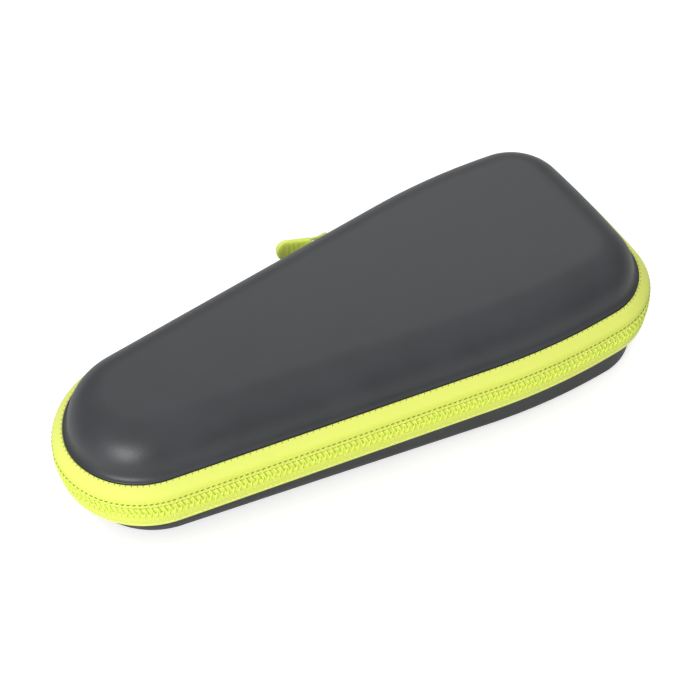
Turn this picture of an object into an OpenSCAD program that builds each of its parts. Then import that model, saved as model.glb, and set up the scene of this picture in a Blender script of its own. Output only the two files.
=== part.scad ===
// Hard zip case for an electric shaver: a moulded base and lid, joined along the far side
// by a fabric spine that folds twice, and closed by a coil zip that runs round the rest.
// Origin: middle of the length and width, on the floor. +X is the wide end, +Y the spine side.

/* [Outline seen from above] */
// Overall length, nose to wide end
case_len = 220; // [190:1:260]
// Width between the two corners of the wide end, before they are rounded
wide_w = 92.2; // [84:0.2:98]
// Greatest width, at the bend in each side
bend_w = 100.7; // [99:0.1:108]
// Distance of the bend from the wide end
bend_back = 54.8; // [46:0.2:62]
// Width between the two corners of the nose, before they are rounded
nose_w = 59.4; // [54:0.2:64]
// How far the nose corners lie behind the tip
nose_back = 9.5; // [8:0.1:12]
// How far the corners of the wide end lie behind its middle
wide_back = 1.5; // [1.2:0.1:1.8]
// Radius of the slightly bowed wide end
end_bow_r = 380; // [250:10:400]
// Corner radius of the wide end
wide_corner_r = 28.8; // [26:0.1:32]
// Radius of the bend in each side
bend_r = 224; // [180:1:260]
// Corner radius of the nose
nose_corner_r = 33; // [30:0.1:36]
// Radius of the nose tip
nose_tip_r = 30; // [28:0.1:36]

/* [Heights] */
// Floor to the middle of the zip
base_h = 25.5; // [25.3:0.1:32]
// Middle of the zip to the edge of the lid's top
lid_h = 24.6; // [22:0.1:24.8]
// Extra height of the lid in the middle of its top
lid_crown = 0.5; // [0.2:0.1:0.6]

/* [Moulded shells] */
// Thickness of the moulded foam shells
shell_t = 3; // [2.4:0.1:3.4]
// Radius of the lid's upper edge
lid_edge_r = 14.8; // [13:0.1:17]
// Inset of the lid's wall from the zip's face
lid_wall_in = 6.9; // [6.6:0.1:7.6]
// Inset of the base's wall from the zip's face
base_wall_in = 4.6; // [4.5:0.1:5.4]
// Radius of the base's lower edge at the nose
foot_r_nose = 13.5; // [10:0.5:14]
// Radius of the base's lower edge at the wide end
foot_r_wide = 2; // [1.5:0.1:6]
// Width of the flat rim that the zip tape is sewn to
rim_w = 2.3; // [2:0.1:2.8]

/* [Lining and binding] */
// Thickness of the lining
lining_t = 0.6; // [0.4:0.1:0.8]
// Thickness of the binding over the inner seam
binding_t = 0.7; // [0.5:0.1:0.9]

/* [Zip] */
// Height of the fold lines above and below the middle of the zip
fold_h = 5.5; // [5.4:0.1:6]
// Thickness of the zip tape
tape_t = 0.9; // [0.6:0.05:1]
// Depth of the coil, from its face to the tape behind it
coil_d = 1.1; // [0.9:0.05:1.3]
// Height of one half of the coil
coil_h = 2.45; // [2.2:0.05:2.6]
// Spacing of the coil's loops
loop_pitch = 2; // [1.8:0.1:3]
// Gap between the two halves of the coil
coil_gap = 0.3; // [0.2:0.05:0.4]
// Height of the lid tape's stitch line above the middle of the zip
lid_stitch_h = 4.9; // [4.6:0.1:5.2]
// Inset of the lid tape's upper edge
lid_ledge_in = 4.8; // [4.6:0.1:5]
// Height of the lid tape's upper edge above the middle of the zip
lid_ledge_h = 9.8; // [9.4:0.1:10.4]
// Height of the base tape's stitch line below the middle of the zip
base_stitch_h = 6.8; // [6.1:0.1:6.9]
// Inset of the base tape's lower edge
base_ledge_in = 4.3; // [4:0.1:4.4]
// Height of the base tape's lower edge below the middle of the zip
base_ledge_h = 10.7; // [10.4:0.1:11]

/* [Spine] */
// Length of the fabric spine
spine_len = 78; // [64:1:80]
// Where the spine ends, along the far side
spine_end = 9; // [6:0.5:9]
// Thickness of the spine's outer fabric
spine_t = 0.7; // [0.5:0.05:0.8]
// Thickness of the spine's inner fabric
spine_lining_t = 0.5; // [0.4:0.05:0.6]
// Length of closed zip that stays with the spine
chain_len = 28; // [27:0.5:28]
// Width of the stops at the zip's two ends
stop_w = 2.6; // [2:0.1:3]

/* [Slider and pull] */
// Distance of the slider from the spine's end when the case is shut
slider_at = 13.8; // [13:0.1:15]
// Length of the slider
slider_len = 10; // [9:0.1:11]
// Width of the slider at its shoulders
slider_w = 8.8; // [8.4:0.1:9]
// Thickness of the slider's two plates
plate_t = 1.4; // [1.2:0.1:1.6]
// Radius of the pin that the pull turns on
pin_r = 0.8; // [0.7:0.05:0.9]
// Clearance round the pin
pin_clear = 0.25; // [0.2:0.05:0.3]
// Length of the pull, from the pin to its tip
pull_len = 18.5; // [17:0.5:22]
// Width of the pull's grip
grip_w = 9.5; // [8:0.1:9.8]
// Thickness of the pull's grip
grip_t = 3.2; // [2.4:0.1:3.4]
// Angle at which the pull stands off the zip when the case lies still
pull_rest = 18; // [10:1:60]

/* [Shaver cradle] */
// Height of the cradle's top above the floor
cradle_top = 19; // [17:0.5:19]
// Thickness of foam under the shaver
cradle_floor = 3; // [2:0.5:5]
// Length of the shaver's pocket
pocket_len = 176; // [150:1:178]
// Width of the pocket at the handle
handle_w = 42; // [36:0.5:43]
// Width of the pocket at the shaving head
head_w = 66; // [56:0.5:68]
// Length of the pocket's head end
head_len = 50; // [44:0.5:56]
// Distance of the pocket from the wide end
pocket_back = 20; // [19:0.5:24]
// Radius of the finger notches beside the handle
notch_r = 11; // [8:0.5:11]

/* [Strap] */
// Width of the elastic strap
strap_w = 25; // [18:0.5:30]
// Thickness of the elastic strap
strap_t = 1.2; // [1:0.1:1.4]
// Rise of the strap over the shaver
strap_rise = 3; // [2:0.1:3.2]
// Distance of the strap from the nose
strap_from_nose = 70; // [64:1:74]
// Length of each sewn end
strap_end = 5.5; // [5:0.1:6]
// Thickness of the patch over each sewn end
patch_t = 0.8; // [0.6:0.1:1]

/* [Net pocket] */
// Distance of the net's open edge from the wide end
net_len = 135; // [110:1:140]
// Thickness of the net
net_t = 0.8; // [0.6:0.1:1]
// Spacing of the net's gaps
net_pitch = 6.8; // [6.8:0.1:9]
// Width of the cords between the gaps
net_cord = 1.4; // [1.2:0.1:1.8]
// Width of the elastic hem
hem_w = 8; // [6:0.5:10]
// Thickness of the elastic hem
hem_t = 1.6; // [1.4:0.1:2]

/* [Hidden] */

// Clearance between soft or moulded pieces that lie against each other
seat = 0.05;
// Clearance between pieces that move past each other
slip = 0.3;
half_len = case_len / 2;
// Fraction of the top at which its crown starts to level out
crown_share = 0.5;
fillet_steps = 6;
lining_steps = 4;

function unit(v) = v / norm(v);
function lerp(a, b, t) = a + (b - a) * t;
function polar(r, a) = [r * cos(a), r * sin(a)];
function turn(a) = a <= -180 ? turn(a + 360) : a > 180 ? turn(a - 360) : a;

// A rounded corner at p between its neighbours a and b: centre, radius, first and last angle.
// The radius is negative where the outline turns inwards.
function corner(a, p, b, r) =
    let (
        u = unit(a - p),
        v = unit(b - p),
        c = p + unit(u + v) * r / sin(acos(u * v) / 2),
        first = atan2(u[0], -u[1]),
        spin = turn(atan2(-v[0], v[1]) - first)
    )
    [c, spin < 0 ? -r : r, first, first + spin];

// Rounded corners of a whole outline
function corners_of(v, r) =
    let (n = len(v))
    [for (i = [0 : n - 1]) corner(v[(i + n - 1) % n], v[i], v[(i + 1) % n], r[i])];

// Points of an outline, moved in by d
function outline(c, d, step) = [
    for (k = c)
        let (n = max(1, ceil(abs(k[3] - k[2]) / step)))
        for (i = [0 : n]) k[0] + polar(k[1] - d, lerp(k[2], k[3], i / n))
];

// Where the vertex of an end must lie for its rounded tip to reach x
function tip_vertex(x, corner_x, corner_y, r, guess, n) =
    n == 0 ? guess
    : let (lean = atan2(guess - corner_x, corner_y))
        tip_vertex(x, corner_x, corner_y, r, x + r * (1 / cos(lean) - 1), n - 1);

wide_x = half_len - wide_back;
bend_x = half_len - bend_back;
nose_x = -half_len + nose_back;
wide_tip = tip_vertex(half_len, wide_x, wide_w / 2, end_bow_r, half_len, 12);
nose_tip = -tip_vertex(half_len, -nose_x, nose_w / 2, nose_tip_r, half_len, 12);

// Vertices, anticlockwise from the nose corner on the spine side
case_verts = [
    [nose_x, nose_w / 2],
    [nose_tip, 0],
    [nose_x, -nose_w / 2],
    [bend_x, -bend_w / 2],
    [wide_x, -wide_w / 2],
    [wide_tip, 0],
    [wide_x, wide_w / 2],
    [bend_x, bend_w / 2]
];
case_radii = [nose_corner_r, nose_tip_r, nose_corner_r, bend_r, wide_corner_r, end_bow_r,
    wide_corner_r, bend_r];
case_corners = corners_of(case_verts, case_radii);

// Samples round the rim: centre, radius, angle, and place along the case from 0 to 1
ring_step = 13;
rim = [
    for (k = case_corners)
        let (n = max(2, ceil(abs(k[3] - k[2]) / ring_step)))
        for (i = [0 : n])
            let (a = lerp(k[2], k[3], i / n))
            [k[0], k[1], a, (k[0][0] + k[1] * cos(a) + half_len) / case_len]
];

function rim_point(s, d, z) =
    let (p = s[0] + polar(s[1] - d, s[2]))
    [p[0], p[1], z];
function flat_ring(d, z) = [for (s = rim) rim_point(s, d, z)];

// The straight stretch of the far side, where the spine is
side_dir = unit(case_verts[7] - case_verts[0]);
side_ang = atan2(side_dir[1], side_dir[0]);
side_out = [-side_dir[1], side_dir[0]];
side_off = side_out * case_verts[0];
side_first = (case_corners[0][0] + polar(case_corners[0][1], case_corners[0][2])) * side_dir;

// Puts children in the frame of the far side: x along it, y outwards, z from the zip's middle
module on_far_side() {
    translate([0, 0, base_h])
        rotate([0, 0, side_ang])
            translate([0, side_off, 0])
                children();
}

// Width from the centre line to the side's inset line at x
function side_y(x, d) = (side_off - d + x * sin(side_ang)) / cos(side_ang);

// Skin through a list of rings, closed by a flat cap at each end
module capped_loft(rings) {
    n = len(rings[0]);
    m = len(rings);
    side_faces = [
        for (j = [0 : m - 2]) for (i = [0 : n - 1])
            let (a = j * n + i, b = j * n + (i + 1) % n)
            each [[a, b + n, b], [a, a + n, b + n]]
    ];
    cap_a = [[for (i = [0 : n - 1]) i]];
    cap_b = [[for (i = [n - 1 : -1 : 0]) (m - 1) * n + i]];
    polyhedron(points = [for (r = rings) each r], faces = concat(side_faces, cap_a, cap_b));
}

// Skin through a list of rings that closes on itself, as a hoop
module hoop_loft(rings) {
    n = len(rings[0]);
    m = len(rings);
    hoop_faces = [
        for (j = [0 : m - 1]) for (i = [0 : n - 1])
            let (a = j * n + i, b = j * n + (i + 1) % n, c = ((j + 1) % m) * n)
            each [[a, c + (i + 1) % n, b], [a, c + i, c + (i + 1) % n]]
    ];
    polyhedron(points = [for (r = rings) each r], faces = hoop_faces);
}

// A path in a cross-section, moved sideways by t with mitred corners
function normal_of(p, q) = let (u = unit(q - p)) [u[1], -u[0]];
function shifted(path, t) =
    let (n = len(path))
    [for (i = [0 : n - 1])
        let (
            u = normal_of(path[max(i - 1, 0)], path[max(i, 1)]),
            v = normal_of(path[min(i, n - 2)], path[min(i + 1, n - 1)])
        )
        path[i] + (u + v) * t / (1 + u * v)];

function hoop_rings(section) = [for (p = section) flat_ring(p[0], p[1])];
function backward(v) = [for (i = [len(v) - 1 : -1 : 0]) v[i]];

// Zip tape
// A cross-section gives inset from the zip's face and height from the zip's middle.
coil_back = coil_d + seat;
coil_top = coil_gap / 2 + coil_h + seat;
tape_face_in = 0.35;
tape_fold_in = 0.6;
tape_lip = 0.5;
tape_end = 0.3;
function tape_face(stitch_in, stitch_h, ledge_in, ledge_h) = [
    [coil_back, tape_end],
    [coil_back, coil_top],
    [tape_face_in, coil_top + tape_lip],
    [stitch_in, stitch_h],
    [ledge_in, ledge_h]
];
lid_tape_face = tape_face(tape_fold_in, lid_stitch_h, lid_ledge_in, lid_ledge_h);
base_tape_face = tape_face(tape_face_in, base_stitch_h, base_ledge_in, base_ledge_h);
lid_tape_back = shifted(lid_tape_face, tape_t);
base_tape_back = shifted(base_tape_face, tape_t);
tape_back = coil_back + tape_t;

// The part of the tapes that gives way to the spine and to the length of closed zip beside it
spine_start = spine_end - spine_len;
chain_end = spine_end + chain_len;
end_gap = 0.25;

module side_window(depth, height) {
    on_far_side()
        translate([spine_start - end_gap, -depth, -height])
            cube([chain_end - spine_start + 2 * end_gap, depth + 3, 2 * height]);
}

module tape_hoop(face, back) {
    hoop_loft(hoop_rings(concat(face, backward(back))));
}

module lid_zip_tape() {
    color("greenyellow")
        difference() {
            translate([0, 0, base_h])
                tape_hoop(lid_tape_face, lid_tape_back);
            side_window(tape_back + slip, fold_h);
        }
}

module base_zip_tape() {
    color("greenyellow")
        difference() {
            translate([0, 0, base_h])
                mirror([0, 0, 1])
                    tape_hoop(base_tape_face, base_tape_back);
            side_window(tape_back + slip, fold_h);
        }
}

// Zip coil
// The coil runs by arc length, so its loops keep their spacing round every corner.
function arc_len(k) = k[1] * abs(k[3] - k[2]) * PI / 180;
function first_point(k) = k[0] + polar(k[1], k[2]);
function last_point(k) = k[0] + polar(k[1], k[3]);
run_lens = [
    for (i = [0 : len(case_corners) - 1])
        let (k = case_corners[i])
        each i < len(case_corners) - 1
            ? [arc_len(k), norm(first_point(case_corners[i + 1]) - last_point(k))]
            : [arc_len(k)]
];
function run_start(i) = i == 0 ? 0 : run_start(i - 1) + run_lens[i - 1];
run_starts = [for (i = [0 : len(run_lens)]) run_start(i)];
run_total = run_starts[len(run_lens)];

function run_at(s, i = 0) =
    i < len(run_lens) - 1 && s >= run_starts[i + 1] ? run_at(s, i + 1) : i;

// Point at distance s along the rim from the nose corner, moved in by d
function along(s, d) =
    let (
        i = run_at(s),
        k = case_corners[floor(i / 2)],
        spare = s - run_starts[i],
        straight = i % 2 == 1 || s > run_total
    )
    s < 0 ? k[0] + polar(k[1] - d, k[2]) + polar(s, k[2] + 90)
    : s > run_total ? k[0] + polar(k[1] - d, k[3]) + polar(s - run_total, k[3] + 90)
    : straight ? k[0] + polar(k[1] - d, k[3]) + polar(spare, k[3] + 90)
    : k[0] + polar(k[1] - d, lerp(k[2], k[3], spare / run_lens[i]));

side_last = last_point(case_corners[7]) * side_dir;
zip_from = spine_start - end_gap - side_first;
zip_to = run_total + side_last - (chain_end + end_gap);
loop_count = floor((zip_to + zip_from) / loop_pitch);
loop_tip = 0.32;
loop_root = 0.22;
valley_d = 0.75;

// One half of the coil: its loops stand out in a row along the rim
module zip_coil_half() {
    step = (zip_to + zip_from) / loop_count;
    teeth = [
        for (i = [0 : loop_count - 1])
            let (s = -zip_from + (i + 0.5) * step)
            each [
                along(s - loop_tip * step - loop_root * step / 2, valley_d),
                along(s - loop_root * step, 0),
                along(s + loop_root * step, 0),
                along(s + loop_tip * step + loop_root * step / 2, valley_d)
            ]
    ];
    back = [for (i = [2 * loop_count : -1 : 0]) along(-zip_from + i * step / 2, coil_d)];
    translate([0, 0, coil_gap / 2])
        linear_extrude(height = coil_h)
            polygon(concat(teeth, back));
}

module lid_zip_coil() {
    color("yellowgreen")
        translate([0, 0, base_h])
            zip_coil_half();
}

module base_zip_coil() {
    color("yellowgreen")
        translate([0, 0, base_h])
            mirror([0, 0, 1])
                zip_coil_half();
}

// Moulded shells
// Each shell is worked out with its opening down, from the zip's middle to its closed face.
rim_edge_h = tape_lip + coil_top;
min_inner_r = 0.8;
wall_lead = 2.2;
foot_gap = 0.35;
foot_rise = 0.15;
cove_turn = 0.7;
cove_at = [0.35, 0.7];

// One ring of the rounded edge: step k of the fillet, t inside the outer face
function edge_ring(k, n, height, wall_in, r_nose, r_wide, ledge_h, t) = [
    for (s = rim)
        let (
            r = min(lerp(r_nose, r_wide, s[3]), height - ledge_h / 2),
            inner = max(r - t, min_inner_r),
            centre = height - (t == 0 ? r : inner + t),
            start = max(0, asin(min(0.9, (ledge_h + wall_lead - (height - r)) / r))),
            a = lerp(start, 90, k / n),
            ri = t == 0 ? r : inner
        )
        rim_point(s, wall_in + t + ri * (1 - cos(a)), centre + ri * sin(a))
];

// A ring of the crowned top, drawn in towards the middle by a share
function crown_ring(ring, share, rise) =
    [for (p = ring) [p[0] * share, p[1] * share, p[2] + rise]];

function edge_rings(n, height, wall_in, r_nose, r_wide, ledge_h, crown, t) =
    let (rings = [for (k = [0 : n]) edge_ring(k, n, height, wall_in, r_nose, r_wide, ledge_h, t)])
    crown > 0 ? concat(rings, [crown_ring(rings[n], crown_share, crown)]) : rings;

// The inner side of the rim, t inside the shell's outer face
rim_slant = 0.82;
rim_drop = 0.57;
function rim_inner(ledge_in, ledge_h, t) = [
    [tape_back + rim_w + rim_slant * (t - shell_t), rim_edge_h - rim_drop * (t - shell_t)],
    [ledge_in + t, ledge_h - 0.8 * shell_t - 0.35 * (t - shell_t)]
];

// The hollow curve by which a shell's foot runs into its wall, from ring a past ring b to ring c
function cove_ring(a, b, c, t) =
    [for (i = [0 : len(a) - 1]) lerp(lerp(a[i], b[i], t), lerp(b[i], c[i], t), t)];

module half_shell(back, ledge_in, ledge_h, wall_in, height, r_nose, r_wide, crown) {
    wall = edge_rings(fillet_steps, height, wall_in, r_nose, r_wide, ledge_h, crown, 0);
    foot = flat_ring(ledge_in + foot_gap, ledge_h + foot_rise);
    knee = flat_ring(lerp(ledge_in + foot_gap, wall_in, cove_turn), ledge_h + 2 * foot_rise);
    outer = concat(
        [for (i = [1 : 4]) flat_ring(back[i][0], back[i][1])],
        [foot],
        [for (t = cove_at) cove_ring(foot, knee, wall[0], t)],
        wall
    );
    inner = concat(
        hoop_rings(rim_inner(ledge_in, ledge_h, shell_t)),
        edge_rings(lining_steps, height, wall_in, r_nose, r_wide, ledge_h, crown, shell_t)
    );
    capped_loft(concat(backward(outer), inner));
}

module half_lining(ledge_in, ledge_h, wall_in, height, r_nose, r_wide, crown) {
    layers = [for (t = [shell_t + seat, shell_t + seat + lining_t]) concat(
        hoop_rings(rim_inner(ledge_in, ledge_h, t)),
        edge_rings(lining_steps, height, wall_in, r_nose, r_wide, ledge_h, crown, t)
    )];
    capped_loft(concat(backward(layers[0]), layers[1]));
}

module lid_shell() {
    color("#515357")
        translate([0, 0, base_h])
            half_shell(lid_tape_back, lid_ledge_in, lid_ledge_h, lid_wall_in, lid_h,
                lid_edge_r, lid_edge_r, lid_crown);
}

module base_shell() {
    color("#46484b")
        translate([0, 0, base_h])
            mirror([0, 0, 1])
                half_shell(base_tape_back, base_ledge_in, base_ledge_h, base_wall_in, base_h,
                    foot_r_nose, foot_r_wide, 0);
}

module lid_lining() {
    color("#3a3b3d")
        translate([0, 0, base_h])
            half_lining(lid_ledge_in, lid_ledge_h, lid_wall_in, lid_h, lid_edge_r,
                lid_edge_r, lid_crown);
}

module base_lining() {
    color("#3a3b3d")
        translate([0, 0, base_h])
            mirror([0, 0, 1])
                half_lining(base_ledge_in, base_ledge_h, base_wall_in, base_h, foot_r_nose,
                    foot_r_wide, 0);
}

// Binding over the seam between lining and rim
bind_reach = 0.6;
bind_end_h = 0.8;
lined_t = shell_t + lining_t + 2 * seat;

module binding_hoop(ledge_in, ledge_h) {
    face = rim_inner(ledge_in, ledge_h, lined_t);
    upper = lerp(face[0], face[1], bind_reach);
    inside = shifted([face[0], upper], binding_t);
    hoop_loft(hoop_rings([
        [tape_back + slip, bind_end_h],
        [tape_back + slip, rim_edge_h - seat],
        [tape_back + rim_w, rim_edge_h - seat],
        face[0],
        upper,
        inside[1],
        inside[0],
        [tape_back + rim_w - 0.1, bind_end_h]
    ]));
}

module rim_window() {
    side_window(tape_back + rim_w - slip, rim_edge_h - slip);
}

module lid_binding() {
    color("#2e2f31")
        difference() {
            translate([0, 0, base_h])
                binding_hoop(lid_ledge_in, lid_ledge_h);
            rim_window();
        }
}

module base_binding() {
    color("#2e2f31")
        difference() {
            translate([0, 0, base_h])
                mirror([0, 0, 1])
                    binding_hoop(base_ledge_in, base_ledge_h);
            rim_window();
        }
}

// Spine
panel_h = fold_h - end_gap;

module spine_panel() {
    color("#3c3e41")
        on_far_side()
            translate([spine_start + stop_w, -seat - spine_t, -panel_h])
                cube([spine_len - stop_w - seat, spine_t, 2 * panel_h]);
}

module spine_lining() {
    color("#3a3b3d")
        on_far_side()
            translate([spine_start + stop_w, -seat - spine_t - spine_lining_t, -rim_edge_h])
                cube([spine_len - stop_w - seat, spine_lining_t, 2 * rim_edge_h]);
}

// Length of zip beside the spine, with a slot where the slider has parted its two halves
chain_from = spine_end + stop_w;
slot_half = 0.75;
slider_x = spine_end + slider_at;
slider_travel = 7;
post_len = 2;
slot_to = slider_x - slider_len / 2 + 2 * post_len + slider_travel;

module parting_slot() {
    translate([chain_from - 1, -coil_back - tape_t - 1, -slot_half])
        cube([slot_to - chain_from + 1, coil_back + tape_t + 2, 2 * slot_half]);
}

// One half of the closed tape's section, thinner than the tape by the slip it needs in the window
function chain_half(fold_in) =
    let (
        face = [[coil_back, coil_top], [tape_face_in, coil_top + tape_lip], [fold_in, panel_h]],
        back = shifted(face, tape_t - slip)
    )
    concat(face, [[back[2][0], panel_h], back[1], back[0]]);

module chain_tape() {
    section = concat(
        chain_half(tape_fold_in),
        backward([for (p = chain_half(tape_face_in)) [p[0], -p[1]]])
    );
    color("greenyellow")
        on_far_side()
            difference() {
                translate([chain_from, 0, 0])
                    rotate([90, 0, 90])
                        linear_extrude(height = chain_end - chain_from)
                            polygon([for (p = section) [-p[0], p[1]]]);
                parting_slot();
            }
}

module chain_coil() {
    count = floor((chain_end - chain_from) / loop_pitch);
    step = (chain_end - chain_from) / count;
    teeth = [
        for (i = [0 : count - 1])
            let (s = chain_from + (i + 0.5) * step)
            each [
                [s - (loop_tip + loop_root / 2) * step, -valley_d],
                [s - loop_root * step, 0],
                [s + loop_root * step, 0],
                [s + (loop_tip + loop_root / 2) * step, -valley_d]
            ]
    ];
    color("yellowgreen")
        on_far_side()
            difference() {
                translate([0, 0, -coil_top + seat])
                    linear_extrude(height = 2 * (coil_top - seat))
                        polygon(concat(teeth, [[chain_end, -coil_d], [chain_from, -coil_d]]));
                parting_slot();
            }
}

// Stops that clamp both halves of the zip at its ends
stop_proud = 0.8;
module zip_stop(x) {
    color("#b9c94a")
        on_far_side()
            translate([x, -tape_back, -coil_top])
                cube([stop_w - seat, tape_back + stop_proud, 2 * coil_top]);
}

module stop_head() {
    zip_stop(spine_end);
}

module stop_nose() {
    zip_stop(spine_start);
}

// Slider
// Its own frame: x along the zip, y outwards from the zip's face, z up, at the slider's middle.
module on_slider() {
    on_far_side()
        translate([slider_x, 0, 0])
            children();
}

shoulder_share = 0.62;
inner_plate_half = rim_edge_h - 2 * slip;
lip_h = 1.1;
lip_from = 1.8;
lip_z = slider_w / 2 - lip_h / 2 - 0.1;
bridge_len = 7.4;
bridge_w = 2.4;
bridge_wall = 1.1;
pivot_y = slip + plate_t + max(pin_clear + pin_r, grip_t / 2) + slip / 2;

// Outline of a slider plate: broad shoulders at the open end, narrower where the zip is shut
module plate_outline(half_w, half_w_tail) {
    points = [
        [-slider_len / 2, -half_w],
        [slider_len * 0.1, -half_w],
        [slider_len / 2, -half_w_tail],
        [slider_len / 2, half_w_tail],
        [slider_len * 0.1, half_w],
        [-slider_len / 2, half_w]
    ];
    radii = [1.6, 5, 0.9, 0.9, 5, 1.6];
    polygon(outline(corners_of(points, radii), 0, 18));
}

module slider_body() {
    color("silver")
        on_slider() {
            translate([0, slip + plate_t, 0])
                rotate([90, 0, 0])
                    linear_extrude(height = plate_t)
                        plate_outline(slider_w / 2, slider_w / 2 * shoulder_share + 0.8);
            for (side = [-1, 1])
                translate([-slider_len / 2 + lip_from, -tape_face_in + slip / 2, side * lip_z - lip_h / 2])
                    cube([slider_len * 0.45, tape_face_in + slip, lip_h]);
            translate([-slider_len / 2 + 0.4, -tape_back - slip - 1, -slot_half + slip / 2])
                cube([post_len, tape_back + 2 * slip + 1.5, 2 * slot_half - slip]);
            translate([-slider_len / 2 + 0.2, -tape_back - slip - plate_t, -inner_plate_half])
                cube([slider_len - 1.2, plate_t - 0.1, 2 * inner_plate_half]);
        }
}

module slider_bridge() {
    arch_r = pin_r + pin_clear;
    top_y = pivot_y + arch_r + bridge_wall;
    points = [
        [-bridge_len / 2, slip + plate_t],
        [bridge_len / 2, slip + plate_t],
        [bridge_len / 2 - 1, top_y],
        [-bridge_len / 2 + 1, top_y]
    ];
    color("silver")
        on_slider()
            translate([0, 0, -bridge_w / 2])
                difference() {
                    linear_extrude(height = bridge_w)
                        polygon(outline(corners_of(points, [0.3, 0.3, 1.2, 1.2]), 0, 18));
                    translate([0, pivot_y, -1])
                        cylinder(r = arch_r, h = bridge_w + 2, $fn = 40);
                }
}

// Pull, in the frame of its pin: x away from the pin along the pull
module on_pull() {
    on_slider()
        translate([0, pivot_y, 0])
            rotate([0, 0, 180 - pull_rest])
                children();
}

arm_t = 1;
arm_z = bridge_w / 2 + slip;
grip_from = 4.6;

module pull_link() {
    arm = [[-pin_r, -pin_r], [grip_from, -pin_r], [grip_from, pin_r], [-pin_r, pin_r]];
    color("silver")
        on_pull() {
            translate([0, 0, -arm_z - arm_t])
                cylinder(r = pin_r, h = 2 * (arm_z + arm_t), $fn = 40);
            for (side = [-1, 1])
                translate([0, 0, side * (arm_z + arm_t / 2) - arm_t / 2])
                    linear_extrude(height = arm_t)
                        polygon(outline(corners_of(arm, [0.7, 0.1, 0.1, 0.7]), 0, 18));
            translate([grip_from - arm_t, -pin_r, -arm_z - arm_t])
                cube([arm_t, 2 * pin_r, 2 * (arm_z + arm_t)]);
        }
}

module pull_grip() {
    end_r = grip_w * 0.41;
    grip_neck = 0.27;
    points = [
        [grip_from + seat, -grip_w * grip_neck],
        [pull_len, -grip_w / 2],
        [pull_len, grip_w / 2],
        [grip_from + seat, grip_w * grip_neck]
    ];
    rib_at = [0.5, 0.64, 0.78];
    rib_depth = 0.35;
    color("greenyellow")
        on_pull()
            difference() {
                translate([0, grip_t / 2, 0])
                    rotate([90, 0, 0])
                        linear_extrude(height = grip_t)
                            polygon(outline(corners_of(points, [1.5, end_r, end_r, 1.5]), 0, 15));
                for (f = rib_at) for (side = [-1, 1])
                    translate([pull_len * f, side * (grip_t / 2 + 1 - rib_depth), 0])
                        cube([1, 2, grip_w * 0.6], center = true);
            }
}

// Cradle
cradle_g = base_h - cradle_top;
nose_wall = 22;
handle_taper = 4;
pocket_radii = [24, 18, 20, 14];
notch_lift = 3;
foam_t = lined_t + seat;
pocket_floor = shell_t + lining_t + cradle_floor + 2 * seat;
pocket_end = half_len - pocket_back;
pocket_start = max(pocket_end - pocket_len, -half_len + nose_wall);
neck_len = 12;

module cradle_block() {
    top = flat_ring(base_wall_in + foam_t, cradle_g);
    rings = edge_rings(lining_steps, base_h, base_wall_in, foot_r_nose, foot_r_wide,
        base_ledge_h, 0, foam_t);
    translate([0, 0, base_h])
        mirror([0, 0, 1])
            capped_loft(concat([top], rings));
}

module pocket_outline() {
    head_from = pocket_end - head_len;
    half = [
        [pocket_end, head_w / 2],
        [head_from, head_w / 2],
        [head_from - neck_len, handle_w / 2],
        [pocket_start, handle_w / 2 - handle_taper]
    ];
    radii = pocket_radii;
    other = backward([for (p = half) [p[0], -p[1]]]);
    polygon(outline(corners_of(concat(half, other), concat(radii, backward(radii))), 0, 9));
}

module shaver_cradle() {
    notch_x = pocket_end - head_len - neck_len - 2.2 * notch_r;
    color("#242527")
        difference() {
            cradle_block();
            translate([0, 0, pocket_floor])
                linear_extrude(height = base_h)
                    pocket_outline();
            for (side = [-1, 1])
                translate([notch_x, side * (handle_w / 2), pocket_floor + notch_lift])
                    cylinder(r = notch_r, h = base_h, $fn = 60);
        }
}

// Strap over the shaver, sewn to the cradle at both ends
strap_x = -half_len + strap_from_nose;
strap_half = side_y(strap_x - strap_w / 2, base_wall_in + foam_t) - 0.8;

module cradle_strap() {
    span = strap_half - strap_end;
    arc_r = (span * span + strap_rise * strap_rise) / (2 * strap_rise);
    reach = asin(span / arc_r);
    arc = [
        for (a = [reach : -reach / 8 : -reach])
            [arc_r * sin(a), arc_r * cos(a) - arc_r + strap_rise]
    ];
    under = concat([[strap_half, 0]], arc, [[-strap_half, 0]]);
    over = [for (p = backward(under)) [p[0], p[1] + strap_t]];
    color("#1f2022")
        translate([strap_x - strap_w / 2, 0, cradle_top])
            rotate([90, 0, 90])
                linear_extrude(height = strap_w)
                    polygon(concat(under, over));
}

module strap_patch(side) {
    inset = 0.4;
    from = side > 0 ? strap_half - strap_end : -strap_half;
    color("#2e2f31")
        translate([strap_x - strap_w / 2 + inset, from + inset, cradle_top + strap_t])
            cube([strap_w - 2 * inset, strap_end - 2 * inset, patch_t]);
}

module strap_patch_near() {
    strap_patch(-1);
}

module strap_patch_far() {
    strap_patch(1);
}

// Net pocket in the lid
net_g = 5.9;
net_x = half_len - net_len;
lid_lined = rim_inner(lid_ledge_in, lid_ledge_h, lined_t);

// Inset of the lined rim at height g above the zip's middle
function lined_in(g) =
    let (a = lid_lined[0], b = lid_lined[1])
    lerp(a[0], b[0], (g - a[1]) / (b[1] - a[1])) + 2 * seat;

net_in = lined_in(net_g + net_t);
hem_in = lined_in(net_g + hem_t) + slip;
net_rim = [for (p = outline(case_corners, net_in, ring_step)) if (p[0] > net_x) p];
net_side = side_y(net_x, net_in);
net_edge = concat(net_rim, [[net_x, net_side], [net_x, -net_side]]);

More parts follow.
